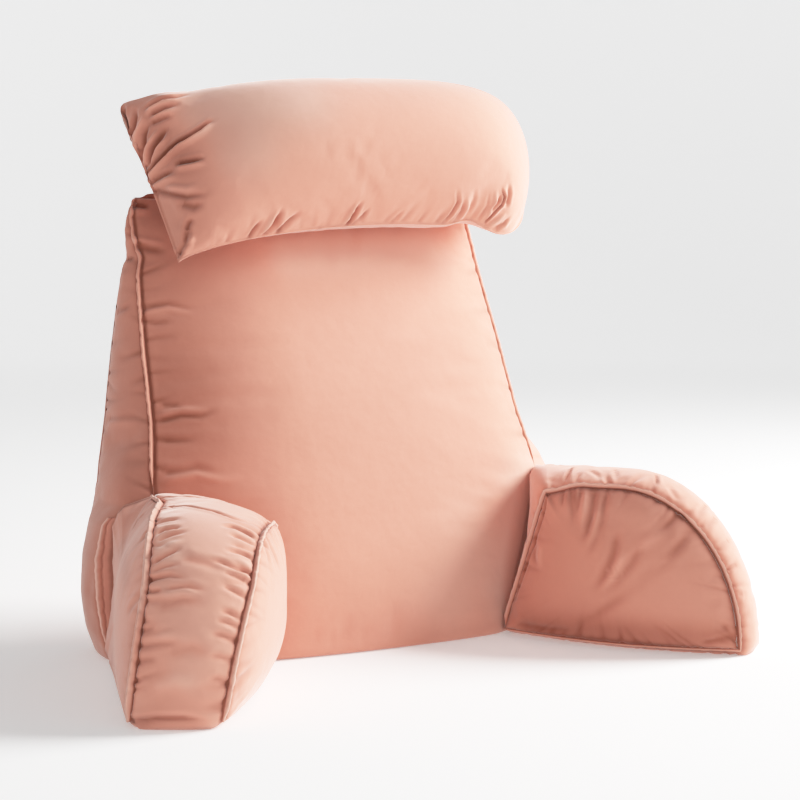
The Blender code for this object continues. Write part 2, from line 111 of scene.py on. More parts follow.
# What differs between the arms: the right one's value in the picture, then the left one's.
ARM_PAIRS = {
    "inner_tip": ((0.298, FRONT_EDGE_Y - 0.220, 0.0), (0.297, FRONT_EDGE_Y - 0.227, 0.0)),
    "outer_tip": ((0.343, FRONT_EDGE_Y - 0.184, 0.0), (0.369, FRONT_EDGE_Y - 0.185, 0.0)),
    "inner_root_height": (0.160, 0.148),
    "inner_height": (0.169, 0.156),
    "outer_height": (0.172, 0.170),
    "inner_bulge": (0.034, 0.027),
    "outer_bulge": (0.036, 0.018),
    "seam_bow": (0.022, 0.012),
    "inner_lean_in": (0.0, 0.022),
    "outer_lean_in": (0.0, 0.0146),
    "pocket_mouth": (0.0, 0.015),
    "mouth_width": (0.0, 0.018),
    "inner_lean": (0.0006, -0.0014),
    "outer_lean": (0.0, -0.0012),
    "inner_flange": (0.8, 0.75),
    "outer_flange": (1.0, 1.05),
    "outer_flange_from": (0.007, 0.026),
    "crinkle": (0.45, 0.9),
    "spare": (0.012, 0.010),
    "outer_slack": (1.0, 0.3),
    "gather": (0.0020, 0.0018),
    # grooves: depth of the groove beside each seam, which also sets the painted shade in it; edge_shade:
    # painted shade along the inner flange's edge; the last entry: painted shade, or painted light below 0,
    # over the inner panel, the band and the outer panel.
    "grooves": ((1.0, 0.7, 0.5, 0.5), (0.2, 1.3, 1.2, 0.2)),
    "groove_width": (6.0 * MM, 3.0 * MM),
    "panel_gathers": ((0.0010, 0.0010), (0.0008, 0.0004)),
    "edge_shade": (1.3, 0.0),
    "nap_tone_and_painted_shading": ((0.34, -0.05, 0.0), (0.0, -0.25, 0.05)),
}
ARM_RIGHT, ARM_LEFT = ({name: pair[side] for name, pair in ARM_PAIRS.items()} for side in (0, 1))
ARM_ROOT_LEAN = 0.048
ARM_BAND_BULGE = 0.013
ARM_FLAT_TOP = 0.50
OUTER_TOP_START = 0.012
BOTTOM_SEAM_HEIGHT = 0.006
POCKET_REACH = 0.045
POCKET_BOTTOM = 0.012
POCKET_TOP = 0.160
FACING_WIDTH = 0.030
FACING_THICKNESS = 0.002

HEAD_LOWER_LEFT = np.array((-0.191, FRONT_EDGE_Y + 0.100, 0.407))
HEAD_LOWER_RIGHT = np.array((0.220, FRONT_EDGE_Y + 0.100, 0.431))
HEAD_UPPER_LEFT = np.array((-0.203, FRONT_EDGE_Y + 0.228, 0.580))
HEAD_UPPER_RIGHT = np.array((0.258, FRONT_EDGE_Y + 0.232, 0.590))
HEAD_LOWER_DRAWN_IN = 0.027
HEAD_UPPER_DRAWN_IN = 0.006
HEAD_RIGHT_BOW = 0.040
HEAD_FRONT_BULGE = 0.100
HEAD_BACK_BULGE = 0.070
HEAD_LIFT = 0.012

# ---- creases, placed on the photograph ------------------------------------------------------
# For each kind: depth in mm, half width in mm, then x and y of the pixels that the crease runs
# through. A crease starts where it leaves a seam and fades towards its last pixel. Troughs and
# folds carry painted shade and ridges a painted highlight. A painted patch has no depth: it has
# how much painted shade it adds, painted light where below 0, and how far it reaches in mm.
TROUGH, RIDGE, FOLD, PAINTED_PATCH = "trough", "ridge", "fold", "nap_tone_and_painted_shading"
LEFT_ARM_CREASES = {
    TROUGH: (
        (3.8, 2.6, 163, 507.4, 189.5, 506.5, 214.4, 511.5, 234.3, 518.5, 255.8, 525.1),
        (2.4, 2.4, 161.3, 498.6, 182.9, 496.3, 216, 499.6, 239.3, 507.4),
        (1.8, 2.6, 157.2, 522.8, 169.6, 519.8, 182.9, 518.5),
        (3.2, 2.8, 157.2, 532.7, 164.6, 529.1, 182.9, 527.1),
        (2.4, 2.6, 157.2, 540.5, 172.9, 533.9, 189.5, 530.6),
        (3.4, 2.8, 154.3, 561.6, 165.5, 554.6, 182.9, 546.7),
        (2, 2.6, 153.8, 570.4, 164.6, 566.2, 182.9, 562.9),
        (3.6, 2, 147.2, 591.9, 154.7, 590.8, 164.6, 589.5),
        (1.8, 2.6, 150.5, 580.3, 169.6, 575.4, 189.5, 578.2),
        (1.6, 2.8, 167.9, 588.6, 189.5, 586.1, 209.4, 591.1),
        (2, 2.6, 142.2, 630.6, 148, 628.9, 156.3, 627.3),
        (1.6, 3, 138.9, 646.7, 159.7, 643.3, 186.2, 640),
        (1.4, 2.8, 136.4, 663.3, 146.4, 659.9, 159.7, 659.1),
        (1.4, 2.6, 133.4, 683.2, 143.1, 680.7),
        (3.4, 2.8, 255, 537.2, 244.2, 531.1, 232.6, 526.8, 219.4, 525.6),
        (2.6, 2.6, 253.3, 543.8, 239.3, 537.2, 226, 532.7),
        (2, 2.6, 253.3, 551.3, 240.1, 546.3, 227.6, 543.8),
        (2.2, 2.6, 250.9, 557.9, 237.6, 552.1, 222.7, 548.8),
        (2.6, 2.6, 248.9, 573.2, 235.9, 568.2, 221, 561.3, 206.1, 557.9),
        (2.2, 2.6, 247.2, 580.8, 234.3, 574.9, 221, 570.9),
        (2.4, 2.6, 245.1, 596.9, 232.6, 589.8, 220.2, 584.8),
        (2.4, 2.6, 240.1, 618.5, 229.3, 612.7, 219.4, 611),
        (2, 2.6, 238.4, 626.8, 226, 621, 214.4, 620.1),
        (2, 2.8, 235.9, 640, 221, 634.2, 209.4, 633.4),
        (1.6, 2.8, 231.8, 659.9, 219.4, 656.1, 206.1, 655.8),
        (1.8, 2.8, 228.5, 683.2, 217.7, 679, 206.1, 679.8),
        (1.4, 5, 182.9, 557.9, 206.1, 562.9, 226, 570.4),
        (1.3, 6, 159.7, 606, 182.9, 599.4, 209.4, 601.9),
        (1.4, 6, 169.6, 650.8, 192.8, 647.5, 216, 655.8),
        (3.4, 3.4, 133.4, 723.4, 156.3, 719.1, 182.9, 718.8, 202.8, 721.3, 217.7, 726.4),
        (1.4, 3, 266.1, 535.6, 275.7, 557.9, 280.7, 572.9),
        (1.2, 3, 263.3, 539.7, 268.3, 556.3, 269.9, 569.6),
        (1.2, 3.5, 232.6, 689, 244.2, 675.7, 255.8, 665.7),
        (1.3, 3.5, 144.7, 513.2, 136.4, 521.5, 129.8, 534.7),
        (1.2, 3.5, 148, 528.1, 143.1, 539.7, 138.1, 546.3),
        (1.2, 4, 139.8, 596.1, 131.5, 606, 126.5, 617.6),
    ),
    RIDGE: (
        (2.2, 2.8, 161.3, 502.4, 182.9, 500.7, 216, 504.9, 239.3, 512.3, 255.8, 519.8),
        (1.4, 2.8, 156.3, 551.3, 167.9, 545.5, 184.5, 539.7),
        (1.2, 3, 164.6, 594.4, 182.9, 591.1, 204.4, 596.1),
        (1, 3.2, 141.4, 637.5, 161.3, 634.2, 182.9, 631.7),
        (1.2, 2.8, 249.2, 564.6, 235.9, 559.6, 222.7, 556.3),
        (1.5, 7, 153, 687.3, 176.2, 679, 206.1, 685.6),
        (1, 3, 269.1, 529.8, 279.1, 549.7, 285.7, 566.2),
    ),
    PAINTED_PATCH: (
        (0.35, 14, 240, 522, 266, 530),
        (0.38, 22, 138, 640, 160, 702),
        (0.2, 18, 195, 706, 225, 688),
        (0.3, 12, 122, 545, 126, 585),
        (-0.3, 14, 158, 535, 172, 556),
    ),
}
RIGHT_ARM_CREASES = {
    TROUGH: (
        (1.4, 2.6, 563.2, 493.6, 562.3, 501.6, 561.4, 508.8),
        (2, 2.2, 547, 496, 544, 512, 536, 537, 528, 561, 520, 585, 512, 612),
        (1.4, 3, 570.7, 491.4, 572.5, 511.4, 571.2, 527.5),
        (1.4, 3, 580.2, 491.4, 578.4, 504.3, 575.7, 516.8),
        (2, 4, 594.5, 491.8, 592.1, 511.4, 586.4, 531.1, 577.5, 545.4),
        (1.6, 4, 605.2, 493.6, 601.1, 520.4, 591.4, 547.1, 583.8, 561.4),
        (1.4, 3.5, 535.5, 540, 533.8, 554.3, 535, 568.6),
        (1.8, 5, 616.4, 536.4, 613.2, 554.3, 603.9, 575.7, 590, 593.9),
        (1.3, 4.5, 640.9, 547.1, 630.2, 565, 615, 582.9, 600.7, 597.1),
        (1.7, 5, 688.2, 534.6, 663.2, 563.2, 640, 582.9, 613.2, 602.5, 591.8, 616.8, 570.4, 624.8),
        (1.2, 6, 682.9, 515, 665, 525.7, 650.7, 532.9),
        (1.4, 3, 704.3, 642.7, 720.4, 639.6, 732.9, 636.1),
        (1.2, 3, 723.9, 625.7, 730.2, 633.8, 737.3, 641.8),
        (1.2, 4, 516.8, 623.9, 548.9, 629.3, 582.9, 631.1),
        (1.7, 2.6, 571.2, 469.5, 567.1, 476.6, 564.6, 483.8),
        (1.2, 2.6, 579.3, 473.9, 576.6, 478.4, 575.4, 482.5),
        (1.2, 3, 590, 470.4, 597.1, 474.8, 601.6, 480.2),
        (0.9, 2.6, 615, 468.6, 615.9, 475.7, 617.1, 482.9),
        (2, 1.8, 656.1, 469.5, 656.4, 477.5, 657.1, 486.8),
        (1, 3, 670.4, 488.2, 673.9, 494.5, 677.5, 501.6),
        (1.4, 3, 706.1, 504.3, 698, 514.1, 693.6, 518.6),
        (1.4, 3, 715.4, 516.8, 708.8, 525.7, 704.3, 532.9),
        (1.2, 3, 729.3, 540, 720.4, 545.4, 715.9, 548.9),
        (1.2, 3, 737.3, 565, 730.2, 567.7, 726.6, 570.4),
        (1, 3, 743.6, 593.6, 737.3, 595.4),
        (1, 3, 550.7, 479.3, 555.2, 482.9, 557.9, 489.1),
    ),
    RIDGE: (
        (1.7, 4.5, 599.3, 511.4, 595, 531.1, 587.9, 547.1),
        (1.4, 4, 584.6, 495.4, 582.9, 515, 579.3, 529.3),
        (1.4, 3.5, 540.9, 545.4, 540, 557.9, 541.4, 570.4),
        (1.8, 4.5, 621.2, 554.3, 615, 572.1, 598.9, 591.8),
        (1.7, 4.5, 670.4, 554.3, 650.7, 573.9, 627.5, 591.8, 604.3, 607),
        (1, 5, 661.4, 532.9, 647.1, 540, 632.9, 556.1),
        (1.2, 3, 573.9, 466.8, 571.2, 473.9, 568.6, 481.4),
        (0.8, 2.4, 659.6, 470.4, 660, 478.4, 660.7, 486.1),
    ),
    PAINTED_PATCH: (
        (0.35, 16, 530, 624, 640, 632, 722, 636),
        (-0.3, 14, 556, 484, 600, 478),
        (-0.2, 14, 560, 510, 600, 508, 650, 522),
    ),
}
HEAD_CREASES = {
    TROUGH: (
        (4.2, 3, 131.5, 142.1, 132.8, 128.9, 135.5, 116.5, 134.6, 106.6),
        (4.5, 3.2, 142.5, 156.8, 144, 134.8, 150.6, 120.1),
        (3.8, 3.2, 149.1, 162.6, 153.5, 146.5, 164.5, 131.8, 173.3, 124.5),
        (2.9, 3, 146.9, 106.9, 161.6, 99.6, 179.2, 95.9, 193.8, 94),
        (2.9, 3, 150.6, 114.5, 164.5, 107.2, 182.1, 102.8),
        (2.9, 3, 151.3, 123, 163, 117.5, 174.8, 114),
        (3.5, 3, 123.5, 108.4, 124.6, 120.1, 130.1, 139.2),
        (4.2, 2.6, 177.7, 163.2, 188, 161.5, 207.8, 156.8),
        (3.2, 2.8, 151.3, 182.9, 163, 175.1, 177.7, 168.8),
        (2.9, 3, 149.9, 189, 166, 192.7, 186.5, 196.7, 204.1, 194.2, 213.6, 186.1),
        (2.9, 3, 186.5, 230.1, 188.7, 222.8, 193.8, 218.4),
        (3.2, 3, 177.7, 255.7, 185.8, 244, 186.8, 234.5, 193.8, 227.9),
        (2.6, 4, 182.1, 203.7, 193.8, 206.6, 205.6, 202.2),
        (3.5, 2.6, 248.1, 238.2, 255.4, 228.6, 263, 219.5),
        (4.8, 2.8, 263.5, 234.5, 273.8, 225, 280.6, 214.7, 283.3, 206.6),
        (3.5, 2.8, 276, 233.8, 289.1, 221.3, 302.3, 211),
        (1.6, 3, 317, 231.6, 324.3, 221.3),
        (3.8, 2.1, 345.8, 226.2, 355.4, 211.5, 363.6, 200.1),
        (2.5, 1.9, 351.7, 225.2, 361.6, 217, 370.9, 207),
        (1.9, 2.1, 390.4, 223, 398.6, 215.9, 404.8, 210.7),
        (3, 1.8, 442.5, 223, 451.4, 214.2, 458.3, 202.2, 457.3, 187.1),
        (1.9, 2.4, 453.5, 222.1, 462, 211.8, 465.1, 199.4),
        (2.7, 1.5, 491.6, 210.4, 499, 200.8, 501.5, 192.6),
        (2.4, 2.4, 494.6, 228.9, 503.5, 224.1, 511.1, 215.9),
        (2.1, 2.4, 507, 204.9, 509.4, 193.9, 508.6, 181.6),
        (1.2, 2.4, 469.9, 210.9, 474.4, 198.5, 474.7, 186.9),
        (1.3, 1.9, 478.9, 218.5, 487.5, 205.7, 489.3, 190.9),
    ),
    RIDGE: (
        (3.5, 3, 127.3, 130.4, 129.3, 142.1, 135.2, 155.3, 142.2, 169.2),
        (4.2, 3, 134.9, 150.9, 136.1, 136.2, 142.8, 120.1, 141.8, 110.6),
        (3.8, 3.2, 145.7, 165.6, 148.7, 148, 156.5, 133.3, 161.6, 127.4),
        (2.9, 3.2, 153.5, 161.2, 158.7, 148, 171.8, 134.8),
        (2.9, 3, 148.4, 110.6, 163, 102.8, 179.2, 99.3),
        (2.4, 3, 153.5, 118.7, 167.4, 111.6, 179.2, 106.9),
        (2.2, 3, 177.7, 167.8, 193.8, 164.8, 208.5, 161.2),
        (2.2, 2.8, 151.3, 187.6, 166, 180.2, 182.1, 175.8),
        (2.4, 3.5, 168.9, 187.6, 188, 189, 202.6, 184.6),
        (2.6, 3.2, 182.1, 252.1, 189.4, 240.4, 195.3, 234.5),
        (2.6, 2.6, 259.8, 234.5, 268.6, 224.2, 276, 214),
        (1.7, 2.2, 343, 224.8, 351.9, 211.8, 359.5, 200.8),
        (2.1, 2.4, 459.6, 220, 467.2, 207.7, 468.5, 192.6),
        (2.1, 2.2, 487.8, 215.9, 495.3, 203.5, 496.7, 188.5),
        (2.1, 2.4, 489.1, 226.2, 498.7, 220, 507, 213.1),
    ),
    FOLD: (
        (8, 3.2, 145.2, 186.1, 150.6, 172.2, 160.9, 160, 170.4, 149.7, 179.2, 142.4, 190.9, 135.7, 201.2,
         129.2, 208.5, 122.2, 215.8, 118.9),
        (2.7, 1.7, 485, 222.1, 493.2, 213.8, 501.7, 204.9, 504.5, 196.7, 501.4, 187.1),
    ),
    PAINTED_PATCH: (
        (-0.65, 40, 200, 108, 300, 100),
        (-0.35, 30, 235, 158, 255, 150),
        (0.35, 22, 160, 135, 185, 160),
    ),
}
BACKREST_CREASES = {
    TROUGH: (
        (4, 3.6, 130.8, 203.5, 141, 204.9, 151.2, 206.1),
        (1.8, 4, 135.9, 246.3, 151.2, 249.4, 169.6, 251.8),
        (1.4, 3.2, 140, 320.8, 155.3, 322.9, 175.7, 320.4),
        (1.2, 3.2, 141, 306.5, 167.6, 303.7, 196.1, 310.6),
        (1.6, 3, 159.4, 420.8, 179.8, 415.1, 200.2, 416.3, 220.6, 409),
        (1.1, 3, 161.4, 404.5, 175.7, 405.7, 183.9, 406.9),
        (1, 3.2, 164.5, 440.8, 179.8, 440.4, 198.2, 440),
        (1.2, 4, 164.5, 473.9, 196.1, 468.2, 220.6, 473.9),
        (2, 2.6, 118.6, 260, 126.7, 259.2, 135.9, 257.1),
        (1.2, 3.2, 116.5, 313.1, 124.7, 308.6, 133.9, 302.4),
        (1, 4, 108.8, 418.8, 124.7, 417.6, 143.5, 418.8),
    ),
    RIDGE: (
        (1.8, 2.6, 130.8, 212.7, 141, 211.6, 152.2, 211),
        (1.2, 4, 130.8, 239.2, 151.2, 242.2, 167.6, 244.3),
        (1.5, 3.2, 143.5, 312.7, 167.6, 308.6, 197.1, 313.9),
        (1.4, 3, 160.4, 414.7, 181.8, 410.2, 208.4, 410.2),
        (1.2, 4, 164.5, 480, 196.1, 473.9, 220.6, 480.4, 245.1, 478.4),
        (1.2, 2.8, 118.6, 264.1, 130.8, 261.6),
        (1.2, 4, 108.8, 423.9, 124.7, 422.4, 143.5, 423.3),
    ),
    # Painted light where the right arm's shadow falls and under the head pillow, painted shade at the left.
    PAINTED_PATCH: (
        (-0.95, 42, 532, 490, 512, 600),
        (-0.35, 45, 478, 545, 450, 600),
        (-0.5, 26, 290, 256, 430, 248),
        (-0.6, 26, 522, 500, 510, 595),
        (0.14, 50, 185, 380, 190, 420),
    ),
}


# ---- small helpers --------------------------------------------------------------------------
def smooth_step(value, low, high):
    """0 below low, 1 above high, and an easy curve between them."""
    share = np.clip((np.asarray(value, float) - low) / (high - low), 0.0, 1.0)
    return share * share * (3.0 - 2.0 * share)


def bell(value, width=1.0):
    """1 at 0, and falling away smoothly on both sides."""
    return np.exp(-(value / width) ** 2)


def unit(vectors):
    """Vectors of length 1 in the same directions."""
    length = np.linalg.norm(vectors, axis=-1, keepdims=True)
    return vectors / np.maximum(length, 1e-12)


def shares(count):
    """Even steps from 0 up to, but not including, 1."""
    return np.linspace(0.0, 1.0, count, endpoint=False)


def travel(points, axis=0):
    """Distance travelled along a line of points, or along a grid's rows or columns."""
    steps = np.linalg.norm(np.diff(points, axis=axis), axis=-1)
    travelled = np.cumsum(steps, axis=axis)
    return np.concatenate((np.zeros_like(np.take(travelled, [0], axis=axis)), travelled), axis=axis)


def table_at(rows, height):
    """The row of the table at this height, read from a smooth curve through the rows."""
    last = len(rows) - 1
    index = min(max(int(np.searchsorted(rows[:, 0], height)) - 1, 0), last - 1)
    before, start = rows[max(index - 1, 0)], rows[index]
    end, after = rows[index + 1], rows[min(index + 2, last)]
    share = (height - start[0]) / (end[0] - start[0])
    slope_start = 0.5 * (end - before)
    slope_end = 0.5 * (after - start)
    cubic = 2.0 * (start - end) + slope_start + slope_end
    square = 3.0 * (end - start) - 2.0 * slope_start - slope_end
    return ((cubic * share + square) * share + slope_start) * share + start


RIPPLE_LENGTHS = (0.007, 0.014, 0.039)


def ripple(along, seed):
    """An uneven wave between about -1 and 1, with the same shape on every run."""
    random = np.random.default_rng(seed)
    total = np.zeros_like(np.asarray(along, float))
    for length in RIPPLE_LENGTHS:
        for stretch in (1.0, 1.31):
            phase = random.uniform(0.0, 2.0 * math.pi)
            total += np.sin(2.0 * math.pi * along / (length * stretch) + phase)
    return total / (len(RIPPLE_LENGTHS) * 2) ** 0.5 / 1.2


# Half a section of the sewn flange in mm: across it, and out from the seam. The two layers of
# cloth part a little at its edge.
FLANGE = np.array((
    (-2.2, -2.2), (-1.45, -0.5), (-1.2, 1.3), (-1.1, 2.9), (-1.05, 4.2), (-0.65, 5.1), (0.0, 4.6),
    (0.65, 5.1), (1.05, 4.2), (1.1, 2.9), (1.2, 1.3), (1.45, -0.5), (2.2, -2.2),
)) * MM
FLANGE_HEIGHT = 5.1 * MM


def flange_section(share, wave, lean):
    """The flange's section, scaled by a share, made uneven by a wave and leaning over by lean."""
    across, out = FLANGE[:, 0], FLANGE[:, 1]
    share, wave = np.asarray(share)[..., None], np.asarray(wave)[..., None]
    bend = lean + 1.15 * MM * wave
    raised = np.clip(out / FLANGE_HEIGHT, 0.0, 1.0) ** 1.4
    tall = out * (1.0 + 0.18 * wave * np.sign(out))
    return across * (0.55 + 0.45 * share) + bend * raised * share, tall * share


def grid_normals(grid):
    """Outward direction at each point of a grid whose columns close into a ring."""
    along = np.roll(grid, -1, axis=1) - np.roll(grid, 1, axis=1)
    across = np.gradient(grid, axis=0)
    normals = unit(np.cross(along, across))
    outward = grid - grid.reshape(-1, 3).mean(axis=0)
    if (normals * outward).sum() < 0.0:
        normals = -normals
    return normals


def calm_poles(grid):
    """The grid without ripples finer than 1 mm in the rings that close round its two ends."""
    for ring in (*range(9), *range(-9, 0)):
        radius = np.linalg.norm(grid[ring] - grid[ring].mean(axis=0), axis=1).mean()
        waves = np.fft.rfft(grid[ring], axis=0)
        waves[int(radius / MM) + 2:] = 0.0
        grid[ring] = np.fft.irfft(waves, len(grid[ring]), axis=0)
    return grid


def grid_faces(rows, columns, closed_ends):
    """Faces of a closed grid; closed_ends adds fans to a point after the grid's own points."""
    row, column = np.meshgrid(np.arange(rows - 1), np.arange(columns), indexing="ij")
    following = (column + 1) % columns
    faces = np.stack((
        row * columns + column, row * columns + following,
        (row + 1) * columns + following, (row + 1) * columns + column,
    ), axis=-1).reshape(-1, 4).tolist()
    if closed_ends:
        for end, ring in enumerate((0, rows - 1)):
            centre = rows * columns + end
            for index in range(columns):
                faces.append((ring * columns + index, ring * columns + (index + 1) % columns, centre))
    return faces


def grid_mesh(name, grid, ends=None, shade=None):
    """A mesh from a grid of points. shade is a value for each point that the material reads."""
    rows, columns = grid.shape[:2]
    points = grid.reshape(-1, 3)
    if ends is not None:
        points = np.vstack((points, ends))
    mesh = bpy.data.meshes.new(name)
    mesh.from_pydata(points.tolist(), [], grid_faces(rows, columns, ends is not None))
    if shade is not None:
        values = np.zeros(len(points), np.float32)
        values[:rows * columns] = shade.reshape(-1)
        if ends is not None:
            values[-2:] = shade[0].mean(), shade[-1].mean()
        layer = mesh.attributes.new("shade", "FLOAT", "POINT")
        layer.data.foreach_set("value", values)
    builder = bmesh.new()
    builder.from_mesh(mesh)
    bmesh.ops.remove_doubles(builder, verts=builder.verts, dist=1e-6)
    bmesh.ops.recalc_face_normals(builder, faces=builder.faces)
    builder.to_mesh(mesh)
    builder.free()
    mesh.shade_smooth()
    return mesh


def add_object(name, data):
    """An object in the scene for a mesh, a light or a camera."""
    thing = bpy.data.objects.new(name, data)
    bpy.context.scene.collection.objects.link(thing)
    return thing


def surface_tree(grid, ends=None):
    """A search tree over a grid's faces."""
    points = grid.reshape(-1, 3)
    if ends is not None:
        points = np.vstack((points, ends))
    faces = grid_faces(*grid.shape[:2], ends is not None)
    return BVHTree.FromPolygons(points.tolist(), faces)


# ---- cloth simulation -----------------------------------------------------------------------
SIMULATED_FRAMES = 20
CLOTH = {
    "quality": 5, "tension_stiffness": 15.0, "compression_stiffness": 15.0, "shear_stiffness": 5.0,
    "bending_stiffness": 0.4, "vertex_group_mass": "held", "use_pressure": True,
    "uniform_pressure_force": 4.0,
}


def read_all(items, name, width, kind=float):
    """One property of a mesh's parts, as an array with a row for each part."""
    values = np.empty(len(items) * width, np.int32 if kind is int else np.float32)
    items.foreach_get(name, values)
    return values.reshape(-1, width).astype(kind)


def neighbour_mean(field, edges, degree):
    """Each point's value, averaged with its neighbours' values."""
    total = np.empty_like(field)
    count = len(field)
    for axis in range(field.shape[1]):
        total[:, axis] = (
            np.bincount(edges[:, 0], field[edges[:, 1], axis], count)
            + np.bincount(edges[:, 1], field[edges[:, 0], axis], count)
        )
    return 0.5 * field + 0.5 * total / degree[:, None]


def slack(grid, ends, seams, held_from, voxel, spare, cap, keep_swell):
    """How far a filled cover moves when its cloth is a little larger than its seams allow.

    The cover is remeshed, its seams are pinned, its cloth grows by spare and it is blown up by
    its filling. Returns the movement at each point of the grid. held_from says which points of
    the cage are pinned because they rest on something.
    """
    shell = add_object("cage_shell", grid_mesh("cage", grid, ends))
    remesh = shell.modifiers.new("remesh", "REMESH")
    remesh.mode = "VOXEL"
    remesh.voxel_size = voxel
    soften = shell.modifiers.new("soften", "SMOOTH")
    soften.iterations = 6
    depsgraph = bpy.context.evaluated_depsgraph_get()
    cage_mesh = bpy.data.meshes.new_from_object(shell.evaluated_get(depsgraph))
    bpy.data.objects.remove(shell, do_unlink=True)
    cage = add_object("cage", cage_mesh)

    rest = read_all(cage_mesh.vertices, "co", 3)
    edges = read_all(cage_mesh.edges, "vertices", 2, int)

    seam_points = np.vstack([seam.reshape(-1, 3) for seam in seams])
    tree = KDTree(len(seam_points))
    for index, point in enumerate(seam_points):
        tree.insert(point, index)
    tree.balance()
    near_seam = np.array([tree.find(point)[2] for point in rest]) < 0.9 * voxel
    held = near_seam | held_from(rest)
    group = cage.vertex_groups.new(name="held")
    group.add(np.flatnonzero(held).tolist(), 1.0, "REPLACE")

    cloth = cage.modifiers.new("cloth", "CLOTH")
    for name, value in CLOTH.items():
        setattr(cloth.settings, name, value)
    cloth.settings.shrink_min = -spare
    cloth.settings.effector_weights.gravity = 0.0
    cloth.point_cache.frame_start = 1
    cloth.point_cache.frame_end = SIMULATED_FRAMES
    scene = bpy.context.scene
    for step in range(1, SIMULATED_FRAMES + 1):
        scene.frame_set(step)
    depsgraph = bpy.context.evaluated_depsgraph_get()
    movement = read_all(cage.evaluated_get(depsgraph).data.vertices, "co", 3) - rest
    scene.frame_set(1)

    degree = np.maximum(np.bincount(edges.ravel(), minlength=len(rest)), 1)
    for _ in range(2):
        movement = neighbour_mean(movement, edges, degree)
    swell = movement.copy()
    for _ in range(60):
        swell = neighbour_mean(swell, edges, degree)
    movement = movement - (1.0 - keep_swell) * swell
    length = np.linalg.norm(movement, axis=1, keepdims=True)
    movement *= cap * np.tanh(length / cap) / np.maximum(length, 1e-9)

    cage_mesh.calc_loop_triangles()
    triangles = read_all(cage_mesh.loop_triangles, "vertices", 3, int)
    finder = BVHTree.FromPolygons(rest.tolist(), triangles.tolist())
    points = grid.reshape(-1, 3)
    nearest = [finder.find_nearest(point) for point in points]
    corners = triangles[[face for _, _, face, _ in nearest]]
    weights = barycentric(np.array([place for place, _, _, _ in nearest]), *rest[corners.T])
    bpy.data.objects.remove(cage, do_unlink=True)
    return (movement[corners] * weights[:, :, None]).sum(axis=1).reshape(grid.shape)


def barycentric(point, a, b, c):
    """Weights of the three corners at a point of each triangle."""
    ab, ac, ap = b - a, c - a, point - a
    d00, d01, d11 = (ab * ab).sum(1), (ab * ac).sum(1), (ac * ac).sum(1)
    d20, d21 = (ap * ab).sum(1), (ap * ac).sum(1)
    whole = np.maximum(d00 * d11 - d01 * d01, 1e-18)
    v = (d11 * d20 - d01 * d21) / whole
    w = (d00 * d21 - d01 * d20) / whole
    return np.clip(np.stack((1.0 - v - w, v, w), axis=1), 0.0, 1.0)


# ---- creases and puckers --------------------------------------------------------------------
def crease_route(tree, pixels):
    """Points on the surface behind these pixels, about evenly spaced."""
    hits = []
    for (x0, y0), (x1, y1) in zip(pixels, pixels[1:]):
        steps = max(2, int(math.hypot(x1 - x0, y1 - y0) / 1.5))
        for step in range(steps + 1):
            share = step / steps
            ray = pixel_ray(x0 + (x1 - x0) * share, y0 + (y1 - y0) * share)
            place = tree.ray_cast(Vector(CAMERA_PLACE), Vector(ray))[0]
            if place is not None:
                hits.append(np.array(place))
    return np.array(hits).reshape(-1, 3)


def before_jump(route):
    """The first part of a route, up to where it jumps from one form to another."""
    jumps = np.linalg.norm(np.diff(route, axis=0), axis=1) > 0.02
    return route[:int(np.argmax(jumps)) + 1] if jumps.any() else route


def crease_field(points, normals, tree, creases):
    """Movement along the normals, and painted shade and painted highlights, that the listed creases give to
    these points.
    """
    lift, shade = np.zeros(len(points)), np.zeros(len(points))
    facing = normals @ CAMERA_BACK > -0.15
    listed = [(kind, *crease) for kind in creases for crease in creases[kind]]
    for kind, depth, width, *pixels in listed:
        route = crease_route(tree, list(zip(pixels[::2], pixels[1::2])))
        width *= MM
        # A painted patch adds only painted shade, or painted light where its value is below 0.
        if kind == PAINTED_PATCH:
            away = [((points - place) ** 2).sum(axis=1) for place in route[::4]]
            shade += depth * np.exp(-np.min(away, axis=0) / width ** 2)
            continue
        route = before_jump(route)
        if len(route) < 3:
            continue
        low, high = route.min(axis=0) - 5.0 * width, route.max(axis=0) + 5.0 * width
        chosen = np.flatnonzero(facing & (points > low).all(axis=1) & (points < high).all(axis=1))
        distances = np.linalg.norm(points[chosen, None, :] - route[None, :, :], axis=2)
        nearest = distances.argmin(axis=1)
        distance = distances.min(axis=1) / width
        share = (travel(route) / travel(route)[-1])[nearest]
        fade = smooth_step(share, -0.08, 0.10)
        fade *= 1.0 - smooth_step(share, 0.80 if kind == FOLD else 0.55, 1.02)
        middle = bell(distance)
        beside = bell(distance - 2.0, 0.95)
        # Troughs get painted shade, ridges a painted highlight, and a fold painted shade in its hollow and
        # a painted highlight on its lip.
        if kind == TROUGH:
            amount = -middle + 0.30 * beside
            darker = 0.75 * middle
        elif kind == RIDGE:
            amount = middle - 0.25 * beside
            darker = -0.55 * middle
        else:
            heading = unit(np.gradient(route, axis=0))[nearest]
            right = np.cross(heading, points[chosen] - route[nearest]) @ CAMERA_BACK < 0.0
            lip = bell(distance - 1.3, 0.9)
            amount = np.where(right, 0.75, 0.25) * lip - bell(distance, 0.7)
            darker = 1.2 * middle - np.where(right, 0.45, 0.0) * lip
        lift[chosen] += depth * MM * amount * fade
        shade[chosen] += darker * fade * min(1.0, depth / 3.5)
    return lift, shade


PUCKER_WIDTH = 2.4 * MM


